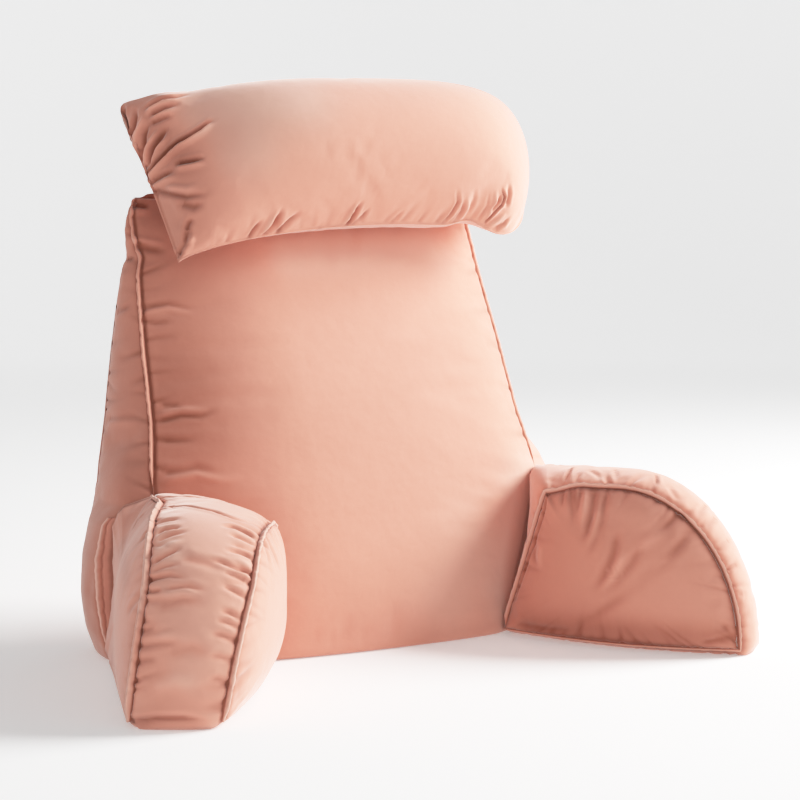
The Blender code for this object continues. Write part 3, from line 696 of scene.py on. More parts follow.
def puckers(along, away, seed, spacing, depth, length):
    """Gathers that leave a seam: troughs between soft swells, fading with distance from it, with painted
    shade in the troughs.
    """
    random = np.random.default_rng(seed)
    lift, shade = np.zeros(along.shape), np.zeros(along.shape)
    place, end = float(along.min()), float(along.max())
    while place < end:
        place += spacing * random.uniform(0.45, 1.65)
        strength = random.uniform(0.25, 1.0) ** 1.4
        reach = length * random.uniform(0.45, 1.3)
        slant = random.uniform(-0.35, 0.35)
        curl = random.uniform(-4.0, 4.0)
        broad = PUCKER_WIDTH * random.uniform(0.75, 1.35)
        offset = along - place - slant * away - curl * away ** 2
        chosen = (np.abs(offset) < 0.03) & (away >= 0.0) & (away < 3.0 * reach)
        if not chosen.any():
            continue
        wide = broad * (1.0 + 18.0 * away[chosen])
        distance = np.abs(offset[chosen]) / wide
        fade = strength * bell(away[chosen], reach)
        lift[chosen] += depth * fade * (0.40 * bell(distance - 2.0, 0.95) - bell(distance))
        # Painted shade in each trough.
        shade[chosen] += 0.45 * fade * bell(distance)
    return lift, shade


def crevice(away, depth, width, shade):
    """The groove beside a sewn seam, for points this far from the seam's foot, and the painted shade in it.
    """
    near = bell(np.maximum(away, 0.0), width) * (away > -1.0 * MM)
    return -depth * near, shade * near


# ---- backrest -------------------------------------------------------------------------------
FRONT_POINTS, FLARE_POINTS, SIDE_POINTS, BACK_POINTS = 84, 14, 36, 40
BACKREST_STEP = 2.3 * MM
# The front flanges lie over towards the side gussets, the right one flat against its gusset.
FRONT_FLANGES = ((0.32, 5.0 * MM), (0.6, 1.6 * MM))
FRONT_CROWNS = ((2.6, 0.72), (2.0, 0.86))
FLANGE_FOOT = 2.3 * MM
BACK_FLANGE_SHARE, BACK_FLANGE_LEAN = 0.65, 3.0 * MM
BACKREST_CRINKLE = 0.7
FLARE_FADED = 0.225      # height where the bulge of the flare has faded out
# Height, and how far each side's seam wanders in towards the middle there: right, left.
SEAM_WANDER = np.array((
    (0.000, 0.0, 0.0), (0.372, 0.0, 0.0), (0.394, 0.0, 1.0), (0.404, 0.0, 3.5), (0.412, 0.0, 6.0),
    (0.423, 0.0, 3.5), (0.437, 0.5, 1.0), (0.455, 1.5, 1.5), (0.466, 4.0, 4.5), (0.476, 8.0, 8.5),
)) * (1.0, MM, MM)
TOP_CLOSE_FROM = 0.452


def root_face_y(x, height):
    """Y of the flat face that the arm is sewn to, at this x and height."""
    along = (x - ROOT_CORNER[0]) * ROOT_NORMAL[0] + height * ROOT_NORMAL[2]
    return ROOT_CORNER[1] - along / ROOT_NORMAL[1]


def corner_flange(corner, arriving, leaving, outward, section):
    """Points round a corner of a level, over its sewn flange."""
    outward = unit(np.array(outward))
    tangent = np.array((-outward[1], outward[0]))
    if tangent @ (arriving + leaving) < 0.0:
        tangent = -tangent
    across, out = section
    points = []
    for over, rise in zip(across, out):
        foot = arriving if over < 0.0 else leaving
        lying = smooth_step(rise, -1.0 * MM, 1.5 * MM)
        points.append(corner + (foot * (1.0 - lying) + tangent * lying) * over + outward * rise)
    return points


def side_bulge(share):
    """How far the side gusset bulges out, this far across it."""
    return SIDE_BULGE * (1.0 - (2.0 * share - 1.0) ** 2) ** 0.8


def backrest_half(height, crown, flanges):
    """One half of a level, from the front's middle to the back's.

    crown holds the two powers of the front's crown, and flanges the two flange sections.
    """
    _, front_half, _, back_half, depth, bulge = table_at(BACKREST_LEVELS, height)
    flared = 1.0 - smooth_step(height, FLARE_TOP, FLARE_FADED)
    if height < ROOT_TOP[2]:
        front_half = ROOT_CORNER[0] + (ROOT_TOP[0] - ROOT_CORNER[0]) * height / ROOT_TOP[2]
    front = np.array((front_half, FRONT_EDGE_Y + FRONT_SLOPE * height))
    back = np.array((back_half, FRONT_EDGE_Y + depth))
    half = flare_half(height)
    flare = np.array((half, root_face_y(half, height)))

    share = 1.0 - (1.0 - shares(FRONT_POINTS)) ** 1.18
    share = share * (1.0 - (FLANGE_FOOT + 1.2 * MM) / front[0])
    forward = bulge * (1.0 - share ** crown[0]) ** crown[1]
    points = [np.array(pair) for pair in zip(front[0] * share, front[1] - forward)]

    along_front = unit(np.array((1.0, 0.25)))
    along_side = unit(back + (flare - back) * flared - front)
    points += corner_flange(front, along_front, along_side, (0.75, -0.66), flanges[0])
    start = front + along_side * FLANGE_FOOT
    for step in range(1, FLARE_POINTS + SIDE_POINTS):
        whole = step / (FLARE_POINTS + SIDE_POINTS)
        straight = start + (back - start) * whole + (side_bulge(whole), 0.0)
        if step <= FLARE_POINTS:
            bent = start + (flare - start) * step / FLARE_POINTS
        else:
            beyond = (step - FLARE_POINTS) / SIDE_POINTS
            bent = flare + (back - flare) * beyond + (side_bulge(beyond), 0.0)
        points.append(straight + (bent - straight) * flared)
    side = np.array(points[-(FLARE_POINTS + SIDE_POINTS - 1):])
    rounded = side.copy()
    for _ in range(30):
        rounded[1:-1] = 0.5 * rounded[1:-1] + 0.25 * (rounded[2:] + rounded[:-2])
    side += (rounded - side) * smooth_step(height, 0.150, 0.175)
    points[-len(side):] = list(side)
    arriving = unit(back - points[-1])
    points += corner_flange(back, arriving, np.array((-1.0, 0.15)), (0.25, 0.97), flanges[1])
    for step in range(1, BACK_POINTS + 1):
        share = 1.0 - step / BACK_POINTS
        points.append(np.array((back[0] * share, back[1] + BACK_BULGE * (1.0 - share ** 2.5) ** 0.8)))
    return points


def backrest_level(height, place, width_share=1.0, depth_share=1.0, flange_share=1.0):
    """A closed level of the backrest at the height place, drawn in about its middle."""
    halves = []
    for side, (front_share, front_lean) in enumerate(FRONT_FLANGES, 1):
        front_share = front_share * smooth_step(height, 0.176, 0.200) * flange_share
        back_share = BACK_FLANGE_SHARE * smooth_step(height, 0.006, 0.030) * flange_share
        half = backrest_half(height, FRONT_CROWNS[side - 1], (
            flange_section(front_share, BACKREST_CRINKLE * ripple(height, 10 * side), front_lean),
            flange_section(back_share, BACKREST_CRINKLE * ripple(height, 10 * side + 1), BACK_FLANGE_LEAN),
        ))
        wander = np.interp(height, SEAM_WANDER[:, 0], SEAM_WANDER[:, side])
        edge = max(point[0] for point in half)
        halves.append([
            point - (wander * smooth_step(point[0] / edge, 0.72, 0.98), 0.0) for point in half
        ])
    right, left = halves
    whole = right + [point * np.array((-1.0, 1.0)) for point in reversed(left[1:-1])]
    level = np.array(whole)
    middle_y = 0.5 * (right[0][1] + right[-1][1])
    level[:, 0] *= width_share
    level[:, 1] = middle_y + (level[:, 1] - middle_y) * depth_share
    return np.column_stack((level, np.full(len(level), place)))


def backrest_grid(flange_share=1.0):
    """The backrest's whole skin, from its underside to the sewn edge along its top."""
    rings = []
    for turn in shares(6):
        quarter = math.sin(turn * QUARTER_TURN)
        rings.append(backrest_level(
            0.010 * turn, 0.010 * (1.0 - math.cos(turn * QUARTER_TURN)),
            0.966 + 0.034 * quarter, 0.91 + 0.09 * quarter, 0.0,
        ))
    heights = np.arange(0.010, TOP_CLOSE_FROM, BACKREST_STEP)
    rings += [backrest_level(height, height, flange_share=flange_share) for height in heights]
    edge = 0.10
    for turn in np.linspace(0.0, 1.0, 12):
        rise = math.sin(turn * QUARTER_TURN)
        narrow = edge + (1.0 - edge) * math.cos(turn * QUARTER_TURN) ** 0.8
        height = TOP_CLOSE_FROM + (BACKREST_HEIGHT - TOP_CLOSE_FROM) * rise
        width = 1.0 - 0.025 * turn ** 3
        rings.append(backrest_level(height, height, width, narrow, flange_share * (1.0 - turn)))
    for rise, narrow in ((-0.5, 0.07), (1.2, 0.075), (3.0, 0.08), (4.4, 0.085), (5.4, 0.07), (5.6, 0.03)):
        ring = backrest_level(
            BACKREST_HEIGHT, BACKREST_HEIGHT + rise * MM * max(flange_share, 0.2), 0.975, narrow, 0.0
        )
        near_corner = smooth_step(np.abs(ring[:, 0]) / np.abs(ring[:, 0]).max(), 0.88, 1.0)
        ring[:, 2] += rise * MM * flange_share * (0.16 * ripple(ring[:, 0], 18) - 0.9 * near_corner)
        rings.append(ring)
    return np.array(rings)


# ---- arms -----------------------------------------------------------------------------------
ROOT_STEPS, TOP_STEPS, FRONT_STEPS, FLOOR_STEPS = 84, 62, 116, 84
PANEL_RINGS, BAND_RINGS = 46, 52


def root_distance(points):
    """How far points are past the face that the arm is sewn to; below 0 in front of it."""
    return (points - ROOT_CORNER) @ ROOT_NORMAL


def flare_half(height):
    """Half width of the backrest where its flare meets the arm."""
    return np.interp(np.minimum(height, FLARE_TOP), FLARE_ROWS[:, 0], FLARE_ROWS[:, 2])


def flare_reach(height):
    """Distance along the root face from its corner to the backrest's side, at this height."""
    half = flare_half(height)
    return np.hypot(half - ROOT_CORNER[0], root_face_y(half, height) - ROOT_CORNER[1])


def mouth_opening(height):
    """How far open the pocket's mouth is at this height, as a share of its widest."""
    return np.sin(math.pi * np.clip((height - 0.016) / 0.138, 0.0, 1.0)) ** 0.9


def mouth_depth(points, mouth):
    """How far the arm stands off the root face at the pocket's mouth."""
    middle = 0.62
    share = (points[..., 2] - POCKET_BOTTOM) / (POCKET_TOP - POCKET_BOTTOM)
    lower = smooth_step(share, -0.1, middle)
    upper = smooth_step(1.0 - share, -0.05, 1.0 - middle)
    swell = np.where(share < middle, lower, upper) * ((share > 0.0) & (share < 1.0))
    reach = np.hypot(points[..., 0] - ROOT_CORNER[0], points[..., 1] - ROOT_CORNER[1])
    into = flare_reach(points[..., 2]) - reach
    return mouth * swell * smooth_step(1.0 - into / POCKET_REACH, 0.0, 1.0)


def pressed(points, mouth):
    """The points, held off the root face of the backrest and flat on the floor."""
    excess = root_distance(points) + CLEARANCE + mouth_depth(points, mouth)
    points = points - ROOT_NORMAL * np.maximum(excess, 0.0)[..., None]
    points[..., 2] = np.maximum(points[..., 2], 0.0)
    return points


def arm_outline(corner, tip, lean, root_height, height):
    """Closed outline of an arm's side panel: up the root, along the top, down the front, back."""
    length = np.linalg.norm(tip - corner)
    flat_end = length * ARM_FLAT_TOP
    share = shares(ROOT_STEPS)
    root = (lean * share, BOTTOM_SEAM_HEIGHT + (root_height - BOTTOM_SEAM_HEIGHT) * share)
    share = shares(TOP_STEPS)
    settled = root_height + (height - root_height) * smooth_step(share, 0.0, 0.5)
    top = (lean + (flat_end - lean) * share, settled)
    angle = QUARTER_TURN * (1.0 - shares(FRONT_STEPS))
    fall = BOTTOM_SEAM_HEIGHT + (height - BOTTOM_SEAM_HEIGHT) * np.sin(angle)
    front = (flat_end + (length - flat_end) * np.cos(angle), fall)
    share = 1.0 - shares(FLOOR_STEPS)
    floor = (length * share, np.full(FLOOR_STEPS, BOTTOM_SEAM_HEIGHT))
    along, rise = (np.concatenate(parts) for parts in zip(root, top, front, floor))
    return corner + unit(tip - corner) * along[:, None] + np.outer(rise, (0.0, 0.0, 1.0))


def outline_rims(outline, side):
    """The direction out of a panel's edge, within the panel, at each point of its outline."""
    along = np.roll(outline, -1, axis=0) - np.roll(outline, 1, axis=0)
    rims = unit(np.cross(along, side))
    inward = (rims * (outline - outline.mean(axis=0))).sum(axis=1) < 0.0
    rims[inward] *= -1.0
    return rims


def softened(outline):
    """A closed outline with its corners eased away."""
    for _ in range(900):
        outline = 0.5 * outline + 0.25 * (np.roll(outline, 1, axis=0) + np.roll(outline, -1, axis=0))
    return outline


def panel_rings(outline, side, bulge):
    """Rings of a crowned side panel, from near its middle to near its seam, and its middle."""
    centre = outline.mean(axis=0)
    soft = softened(outline)
    turns = np.linspace(0.004, 1.0, PANEL_RINGS)
    rings = []
    for share in 0.985 * np.sin(turns * QUARTER_TURN) ** 0.85:
        crown = bulge * (1.0 - share ** 2) ** 0.62
        reach = soft + (outline - soft) * share ** 2 - centre
        out_of_plane = reach @ side
        flat = reach - np.outer(out_of_plane, side)
        rings.append(centre + flat * share + np.outer(out_of_plane * share ** 2 + crown, side))
    return rings, centre + side * bulge


def across_seam(reach, along):
    """The part of a reach that is square to the seam, as a direction."""
    return unit(reach - along * (reach * along).sum(axis=1, keepdims=True))


def seam_rings(outline, rims, side, panel_ring, band_ring, share, wave, lean, raised_from):
    """Rings over a sewn flange, from the side panel to the gusset."""
    along = unit(np.roll(outline, -1, axis=0) - np.roll(outline, 1, axis=0))
    over = unit(across_seam(panel_ring - outline, along) - across_seam(band_ring - outline, along))
    out = np.cross(along, over)
    out[(out * (rims + side)).sum(axis=1) < 0.0] *= -1.0
    raised = smooth_step(-root_distance(outline) - CLEARANCE, 0.0005, raised_from) * share
    raised = raised * (0.35 + 0.65 * smooth_step(outline[:, 2], 0.007, 0.020))
    across, rise = flange_section(raised, wave, lean)
    return [
        outline - over * across[:, column, None] + out * rise[:, column, None]
        for column in range(len(FLANGE))
    ]


def seam_wave(outline, seed, crinkle):
    """The unevenness of a flange along an outline."""
    return crinkle * ripple(travel(outline), seed)


def arm_grid(arm, flange_share=1.0, seed=0):
    """Rings of a boxed arm, its two end points and the outlines of its two side panels."""
    inner_tip, outer_tip = np.array(arm["inner_tip"]), np.array(arm["outer_tip"])
    root_top = ROOT_TOP * (1.0, 1.0, 0.0)
    mouth = arm["pocket_mouth"]
    inner = arm_outline(
        ROOT_CORNER, inner_tip, ARM_ROOT_LEAN, arm["inner_root_height"], arm["inner_height"]
    )
    outer = arm_outline(
        root_top, outer_tip, OUTER_TOP_START, arm["outer_height"], arm["outer_height"]
    )
    # The outer panel's root edge follows the flare of the backrest's side.
    turn = np.sin(QUARTER_TURN * np.arange(ROOT_STEPS) / ROOT_STEPS)
    rise = BOTTOM_SEAM_HEIGHT + (arm["outer_height"] - BOTTOM_SEAM_HEIGHT) * turn
    half = flare_half(rise)
    above = np.maximum(0.0, rise - FLARE_TOP) / (arm["outer_height"] - FLARE_TOP)
    half = half + (ROOT_TOP[0] - half) * above - arm["mouth_width"] * mouth_opening(rise)
    on_face = np.column_stack((half, root_face_y(half, rise), rise))
    outer[:ROOT_STEPS] = on_face - ROOT_NORMAL * mouth_depth(on_face, mouth)[:, None]

    tip_index = ROOT_STEPS + TOP_STEPS + FRONT_STEPS
    share = shares(FLOOR_STEPS)
    outer[tip_index:] = outer[tip_index] + (outer[0] - outer[tip_index]) * share[:, None]
    across = unit(outer_tip - inner_tip)
    inner[tip_index:] -= across * arm["seam_bow"] * np.sin(math.pi * share)[:, None]
    for outline, lean_in in ((inner, arm["inner_lean_in"]), (outer, arm["outer_lean_in"])):
        lifted = np.minimum(1.0, outline[:, 2] / 0.12)
        outline -= across * (
            lean_in * smooth_step(-root_distance(outline), 0.005, 0.075) * lifted
        )[:, None]

    inward = np.cross((0.0, 0.0, 1.0), unit(inner_tip - ROOT_CORNER))
    inward *= -np.sign(inward @ across)
    outward = np.cross((0.0, 0.0, 1.0), unit(outer_tip - root_top))
    outward *= np.sign(outward @ across)
    inner_rims, outer_rims = outline_rims(inner, inward), outline_rims(outer, outward)
    inner_panel, inner_centre = panel_rings(inner, inward, arm["inner_bulge"])
    outer_panel, outer_centre = panel_rings(outer, outward, arm["outer_bulge"])
    band = []
    for share in np.linspace(0.015, 0.985, BAND_RINGS):
        crown = ARM_BAND_BULGE * (1.0 - (2.0 * share - 1.0) ** 2) ** 0.7
        edge = inner + (outer - inner) * share
        band.append(edge + (inner_rims + (outer_rims - inner_rims) * share) * crown)
    inner_panel, outer_panel, band = (
        [pressed(ring, mouth) for ring in rings] for rings in (inner_panel, outer_panel, band)
    )
    inner, outer = pressed(inner, mouth), pressed(outer, mouth)
    rings = inner_panel + seam_rings(
        inner, inner_rims, inward, inner_panel[-1], band[0], flange_share * arm["inner_flange"],
        seam_wave(inner, seed, arm["crinkle"]), arm["inner_lean"], 0.007,
    )
    rings += band + seam_rings(
        outer, outer_rims, outward, outer_panel[-1], band[-1], flange_share * arm["outer_flange"],
        seam_wave(outer, seed + 1, arm["crinkle"]), arm["outer_lean"], arm["outer_flange_from"],
    )[::-1]
    rings += outer_panel[::-1]
    return np.array(rings), np.array((inner_centre, outer_centre)), inner, outer


# ---- head pillow ----------------------------------------------------------------------------
HEAD_COLUMNS, HEAD_ROWS, HEAD_BACK_ROWS = 310, 160, 56
HEAD_LIP = 0.012        # share of the pillow's height taken by the flat lip of its seam
HEAD_LIP_HALF = 0.7 * MM
# Corners of the seam that are sewn round: where they are, and how far the rounding reaches.
HEAD_ROUNDED_CORNERS = (((0.0, 1.0), (0.055, 0.115)), ((1.0, 0.0), (0.06, 0.15)))
# Places where the seam is pushed out by the filling: where they are, and how far.
HEAD_PUSHES = (
    ((0.0, 1.0), (-0.006, 0.0, 0.004)), ((0.0, 0.78), (-0.005, -0.004, 0.0)),
    ((0.86, 0.0), (0.0, 0.0, 0.008)), ((1.0, 0.0), (0.0, 0.0, -0.004)),
)


def head_seam(across, up):
    """Points of the pillow's middle surface, bounded by its four seam edges."""
    for (corner_across, corner_up), (wide, tall) in HEAD_ROUNDED_CORNERS:
        over = 1.0 - np.clip(np.abs(across - corner_across) / wide, 0.0, 1.0)
        rise = 1.0 - np.clip(np.abs(up - corner_up) / tall, 0.0, 1.0)
        across = across + (1.0 - 2.0 * corner_across) * wide * over * (1.0 - np.sqrt(1.0 - 0.5 * rise ** 2))
        up = up + (1.0 - 2.0 * corner_up) * tall * rise * (1.0 - np.sqrt(1.0 - 0.5 * over ** 2))
    across, up = across[..., None], up[..., None]
    hollow = (4.0 * across * (1.0 - across)) ** 0.7
    lower = HEAD_LOWER_LEFT + (HEAD_LOWER_RIGHT - HEAD_LOWER_LEFT) * across
    lower = lower + hollow * (0.0, 0.0, HEAD_LOWER_DRAWN_IN)
    upper = HEAD_UPPER_LEFT + (HEAD_UPPER_RIGHT - HEAD_UPPER_LEFT) * across
    upper = upper - hollow * (0.0, 0.0, HEAD_UPPER_DRAWN_IN)
    bow = HEAD_RIGHT_BOW * np.clip(4.0 * up * (1.0 - up), 0.0, 1.0) ** 0.8 * across ** 3
    seam = lower + (upper - lower) * up + bow * (1.0, 0.0, 0.0)
    for (place_across, place_up), push in HEAD_PUSHES:
        reach = np.hypot((across - place_across) / 0.05, (up - place_up) / 0.13)
        seam = seam + bell(reach) * np.array(push)
    return seam


def head_fullness(across, up):
    """How full the pillow is here, from 0 at its seam to 1: lean at the left, plump at the right."""
    left = (1.0 - np.abs(1.0 - 2.0 * np.minimum(across, 0.5)) ** 2.6) ** (0.80 - 0.30 * up)
    right = (1.0 - np.abs(2.0 * np.maximum(across, 0.5) - 1.0) ** 4.0) ** 0.55
    full = np.where(across < 0.5, left, right) * (1.0 - np.abs(2.0 * up - 1.0) ** 2.2) ** 0.6
    ear = bell(across - 0.045, 0.05) * bell(up - 0.84, 0.15)
    return full + 0.10 * ear * smooth_step(np.minimum(across * 2.0, 1.0 - up), 0.0, 0.10)


def eased(steps, easing):
    """Shares from 0 to 1, closer together near both ends."""
    share = np.arange(steps + 1) / steps
    return share - easing * np.sin(2.0 * math.pi * share) / (2.0 * math.pi)


def head_grid(lip=True):
    """The pillow as rings that run up its front and down its back, from its left seam across."""
    rise = unit(HEAD_UPPER_LEFT - HEAD_LOWER_LEFT)
    front = unit(np.cross((1.0, 0.0, 0.0), rise))
    front *= -np.sign(front[1])
    across = eased(HEAD_COLUMNS, 0.55)
    up = np.concatenate((eased(HEAD_ROWS, 0.5)[:-1], eased(HEAD_BACK_ROWS, 0.5)[:0:-1]))
    bulge = np.repeat((HEAD_FRONT_BULGE, -HEAD_BACK_BULGE), (HEAD_ROWS, HEAD_BACK_ROWS))
    across, up = np.meshgrid(across, up, indexing="ij")
    inner_up = np.clip((up - HEAD_LIP) / (1.0 - 2.0 * HEAD_LIP), 0.0, 1.0)
    inner_across = np.clip((across - 0.5 * HEAD_LIP) / (1.0 - HEAD_LIP), 0.0, 1.0)
    fullness = head_fullness(inner_across, inner_up)
    swell = bulge * fullness
    if lip:
        edge = np.minimum(np.minimum(up, 1.0 - up), np.minimum(across, 1.0 - across) * 2.0)
        swell = swell + np.sign(bulge) * HEAD_LIP_HALF * smooth_step(edge, 0.0, 0.25 * HEAD_LIP)
    points = head_seam(across, up) + swell[..., None] * front
    return points + fullness[..., None] * (0.0, 0.0, HEAD_LIFT), front


# ---- dressing: slack, puckers, creases and contact ------------------------------------------
# Painted shade in a flange's crevice, and a painted highlight along its rim.
CREVICE_SHADE = 0.85
RIM_PAINTED_HIGHLIGHT = -0.7


def flange_shade():
    """Painted shade and light for each line of points over a flange: painted shade at its foot, a painted
    highlight along its edge.
    """
    out = FLANGE[:, 1]
    return np.where(out < 0.0, CREVICE_SHADE, RIM_PAINTED_HIGHLIGHT * np.clip(out / FLANGE_HEIGHT, 0.0, 1.0))


def crease_by_pixels(grid, ends, creases):
    """The grid and its added shade, once the creases seen in the photograph are pressed in."""
    normals = grid_normals(grid)
    lift, shade = crease_field(
        grid.reshape(-1, 3), normals.reshape(-1, 3), surface_tree(grid, ends), creases
    )
    lift = lift.reshape(grid.shape[:2])
    return grid + normals * lift[..., None], shade.reshape(grid.shape[:2])


def add_piece(name, node, grid, ends, shade, material):
    """Makes one piece of the visual model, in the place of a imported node."""
    piece = add_object(name, grid_mesh(name, grid, ends, shade))
    piece.data.materials.append(material)
    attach(piece, "root")
    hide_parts(node)
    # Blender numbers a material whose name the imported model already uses.
    return piece


def add_cover(node, grid, ends, shade, material):
    """A filled cover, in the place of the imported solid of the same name."""
    cover = add_piece(node + "_cover", node, grid, ends, np.clip(shade, -1.0, 1.3), material)


def end_points(grid):
    """The middles of a grid's first and last rings."""
    return np.array((grid[0].mean(axis=0), grid[-1].mean(axis=0)))


def dress_backrest(material):
    """Makes the backrest's cover, and returns a search tree over it."""
    grid = backrest_grid()
    ends = end_points(grid)
    columns = grid.shape[1]
    front_first = FRONT_POINTS
    back_first = FRONT_POINTS + len(FLANGE) + FLARE_POINTS + SIDE_POINTS - 1
    middle = len(FLANGE) // 2
    corners = [first + middle for first in (front_first, back_first)]
    corners += [columns - corner for corner in corners]

    smooth = backrest_grid(0.0)
    seams = [smooth[:, corner] for corner in corners] + [smooth[-1]]

    def held(points):
        mirrored = np.abs(points) * (1.0, 0.0, 0.0) + points * (0.0, 1.0, 1.0)
        on_root = (np.abs(root_distance(mirrored)) < 5.0 * MM) & (points[:, 2] < 0.172)
        return on_root & (mirrored[:, 0] > ROOT_CORNER[0]) | (points[:, 2] < 5.0 * MM)

    grid = grid + slack(
        smooth, ends, seams, held, voxel=6.0 * MM, spare=0.010, cap=4.0 * MM, keep_swell=0.15
    )

    shade = np.zeros(grid.shape[:2])
    # Painted shade at each flange's foot and a painted highlight along its edge, weighted for each seam.
    lines = flange_shade()
    flanges_from = smooth_step(grid[:, 0, 2], 0.160, 0.200) * (grid[:, 0, 2] < BACKREST_HEIGHT)
    for corner, nap_tone_and_painted_shading in zip(corners, (0.3, 0.8, 1.0, 0.8)):
        for offset, value in zip(range(-middle, middle + 1), lines):
            shade[:, corner + offset] += value * nap_tone_and_painted_shading * flanges_from

    travelled = travel(grid, 1)
    heights = np.repeat(grid[:, 0:1, 2], columns, axis=1)
    half = np.abs(grid[..., 0]).max(axis=1, keepdims=True)
    # Painted shade growing towards the left, on the left side and the left of the front, which face away
    # from the key light.
    leftward = smooth_step(-grid[..., 0] / half, 0.20, 0.80)
    shade[:, corners[3] + 1:] += 0.42 * leftward[:, corners[3] + 1:]
    shade[:, corners[2] + 1:] += 0.14 * leftward[:, corners[2] + 1:]
    # Painted shade along the sewn top edge, under the head pillow.
    shade[-6:] += 0.3
    normals = grid_normals(grid)
    lift = np.zeros(grid.shape[:2])
    # Puckers and grooves beside the seams, each with painted shade.
    for number, (corner, groove) in enumerate(zip(corners, (0.2, 0.35, 0.75, 0.35))):
        for direction in (-1, 1):
            foot = (corner + direction * middle) % columns
            away = direction * (travelled - travelled[:, foot:foot + 1])
            away = np.where(np.abs(away) < 0.3, away, -1.0)
            seed = 40 + 2 * number + (direction + 1) // 2
            fade = smooth_step(heights, 0.150, 0.190) * (1.0 - smooth_step(heights, 0.455, 0.472))
            for added, darker in (
                puckers(heights, away, seed, spacing=0.021, depth=1.3 * MM, length=0.026),
                crevice(away, depth=0.8 * MM, width=2.2 * MM, shade=groove),
            ):
                lift += added * fade
                shade += darker * fade
    grid = grid + normals * lift[..., None]
    grid, darker = crease_by_pixels(grid, ends, BACKREST_CREASES)
    shade += darker
    grid[..., 2] = np.maximum(grid[..., 2], 0.0)
    ends = end_points(grid)
    add_cover("backrest", grid, ends, shade, material)
    return surface_tree(grid, ends)


def dress_arm(node, arm, side, seed, creases, material):
    """Makes an arm's cover; side is -1 for the mirrored arm."""
    grid, ends, inner, outer = arm_grid(arm, 1.0, seed)
    mouth = arm["pocket_mouth"]
    smooth, smooth_ends, _, _ = arm_grid(arm, 0.0, seed)

    def held(points):
        return (points[:, 2] < 5.0 * MM) | (root_distance(points) > -5.0 * MM)

    moved = slack(
        smooth, smooth_ends, [inner, outer], held,
        voxel=4.5 * MM, spare=arm["spare"], cap=2.5 * MM, keep_swell=0.1,
    )
    moved[-PANEL_RINGS:] *= arm["outer_slack"]
    grid = grid + moved

    flange = len(FLANGE)
    inner_from, band_from = PANEL_RINGS, PANEL_RINGS + flange
    outer_from = band_from + BAND_RINGS
    panel_from = outer_from + flange
    inner_panel, band, outer_panel = (
        slice(0, inner_from), slice(band_from, outer_from), slice(panel_from, len(grid))
    )
    free = smooth_step(-root_distance(grid), 0.001, 0.014)
    # Painted shade where the arm meets the backrest, then painted shade or painted light over each part.
    shade = 0.7 * (1.0 - smooth_step(-root_distance(grid), 0.0, 0.006))
    for rows, nap_tone_and_painted_shading in zip((inner_panel, band, outer_panel), arm["nap_tone_and_painted_shading"]):
        shade[rows] += nap_tone_and_painted_shading
    raised_inner = smooth_step(-root_distance(inner), 0.001, 0.007)
    raised_outer = smooth_step(-root_distance(outer), 0.001, arm["outer_flange_from"])
    # Painted shade at the flanges' feet, a painted highlight on their rims and painted shade along the
    # inner flange's edge.
    for offset, value in enumerate(flange_shade()):
        shade[inner_from + offset] += value * raised_inner
        shade[panel_from - 1 - offset] += value * raised_outer
    shade[inner_from + 6:inner_from + 9] += arm["edge_shade"] * raised_inner
    # A painted highlight along the arm's edge at the pocket's mouth.
    if mouth:
        shade[panel_from:panel_from + 4, :ROOT_STEPS] -= 0.7 * mouth_opening(outer[:ROOT_STEPS, 2])

    normals = grid_normals(grid)
    lift = np.zeros(grid.shape[:2])
    travelled = travel(grid, 0)
    inner_depth, outer_depth = arm["panel_gathers"]
    parts = (
        (inner_panel, inner, inner_from, -1, inner_depth, 0.024),
        (band, inner, band_from - 1, 1, arm["gather"], 0.019),
        (band, outer, outer_from, -1, arm["gather"], 0.019),
        (outer_panel, outer, panel_from - 1, 1, outer_depth, 0.024),
    )
    # Puckers and grooves beside the seams, each with painted shade.
    for number, (rows, outline, from_row, direction, depth, length) in enumerate(parts):
        groove = arm["grooves"][number]
        away = direction * (travelled[rows] - travelled[from_row]) - 1.0 * MM
        along = np.broadcast_to(travel(outline), away.shape)
        for added, darker in (
            puckers(along, away, seed + 20 + number, 0.013, depth, length),
            crevice(away, groove * MM, arm["groove_width"], 0.9 * groove),
        ):
            lift[rows] += added
            shade[rows] += darker
    grid = grid + normals * (lift * free)[..., None]
    grid = pressed(grid, mouth)
    grid[..., 0] *= side
    ends[:, 0] *= side
    grid, darker = crease_by_pixels(grid, ends, creases)
    shade += darker
    grid[..., 0] *= side
    grid = pressed(calm_poles(grid), mouth)
    grid[..., 0] *= side
    ends = end_points(grid)
    add_cover(node, grid, ends, shade, material)


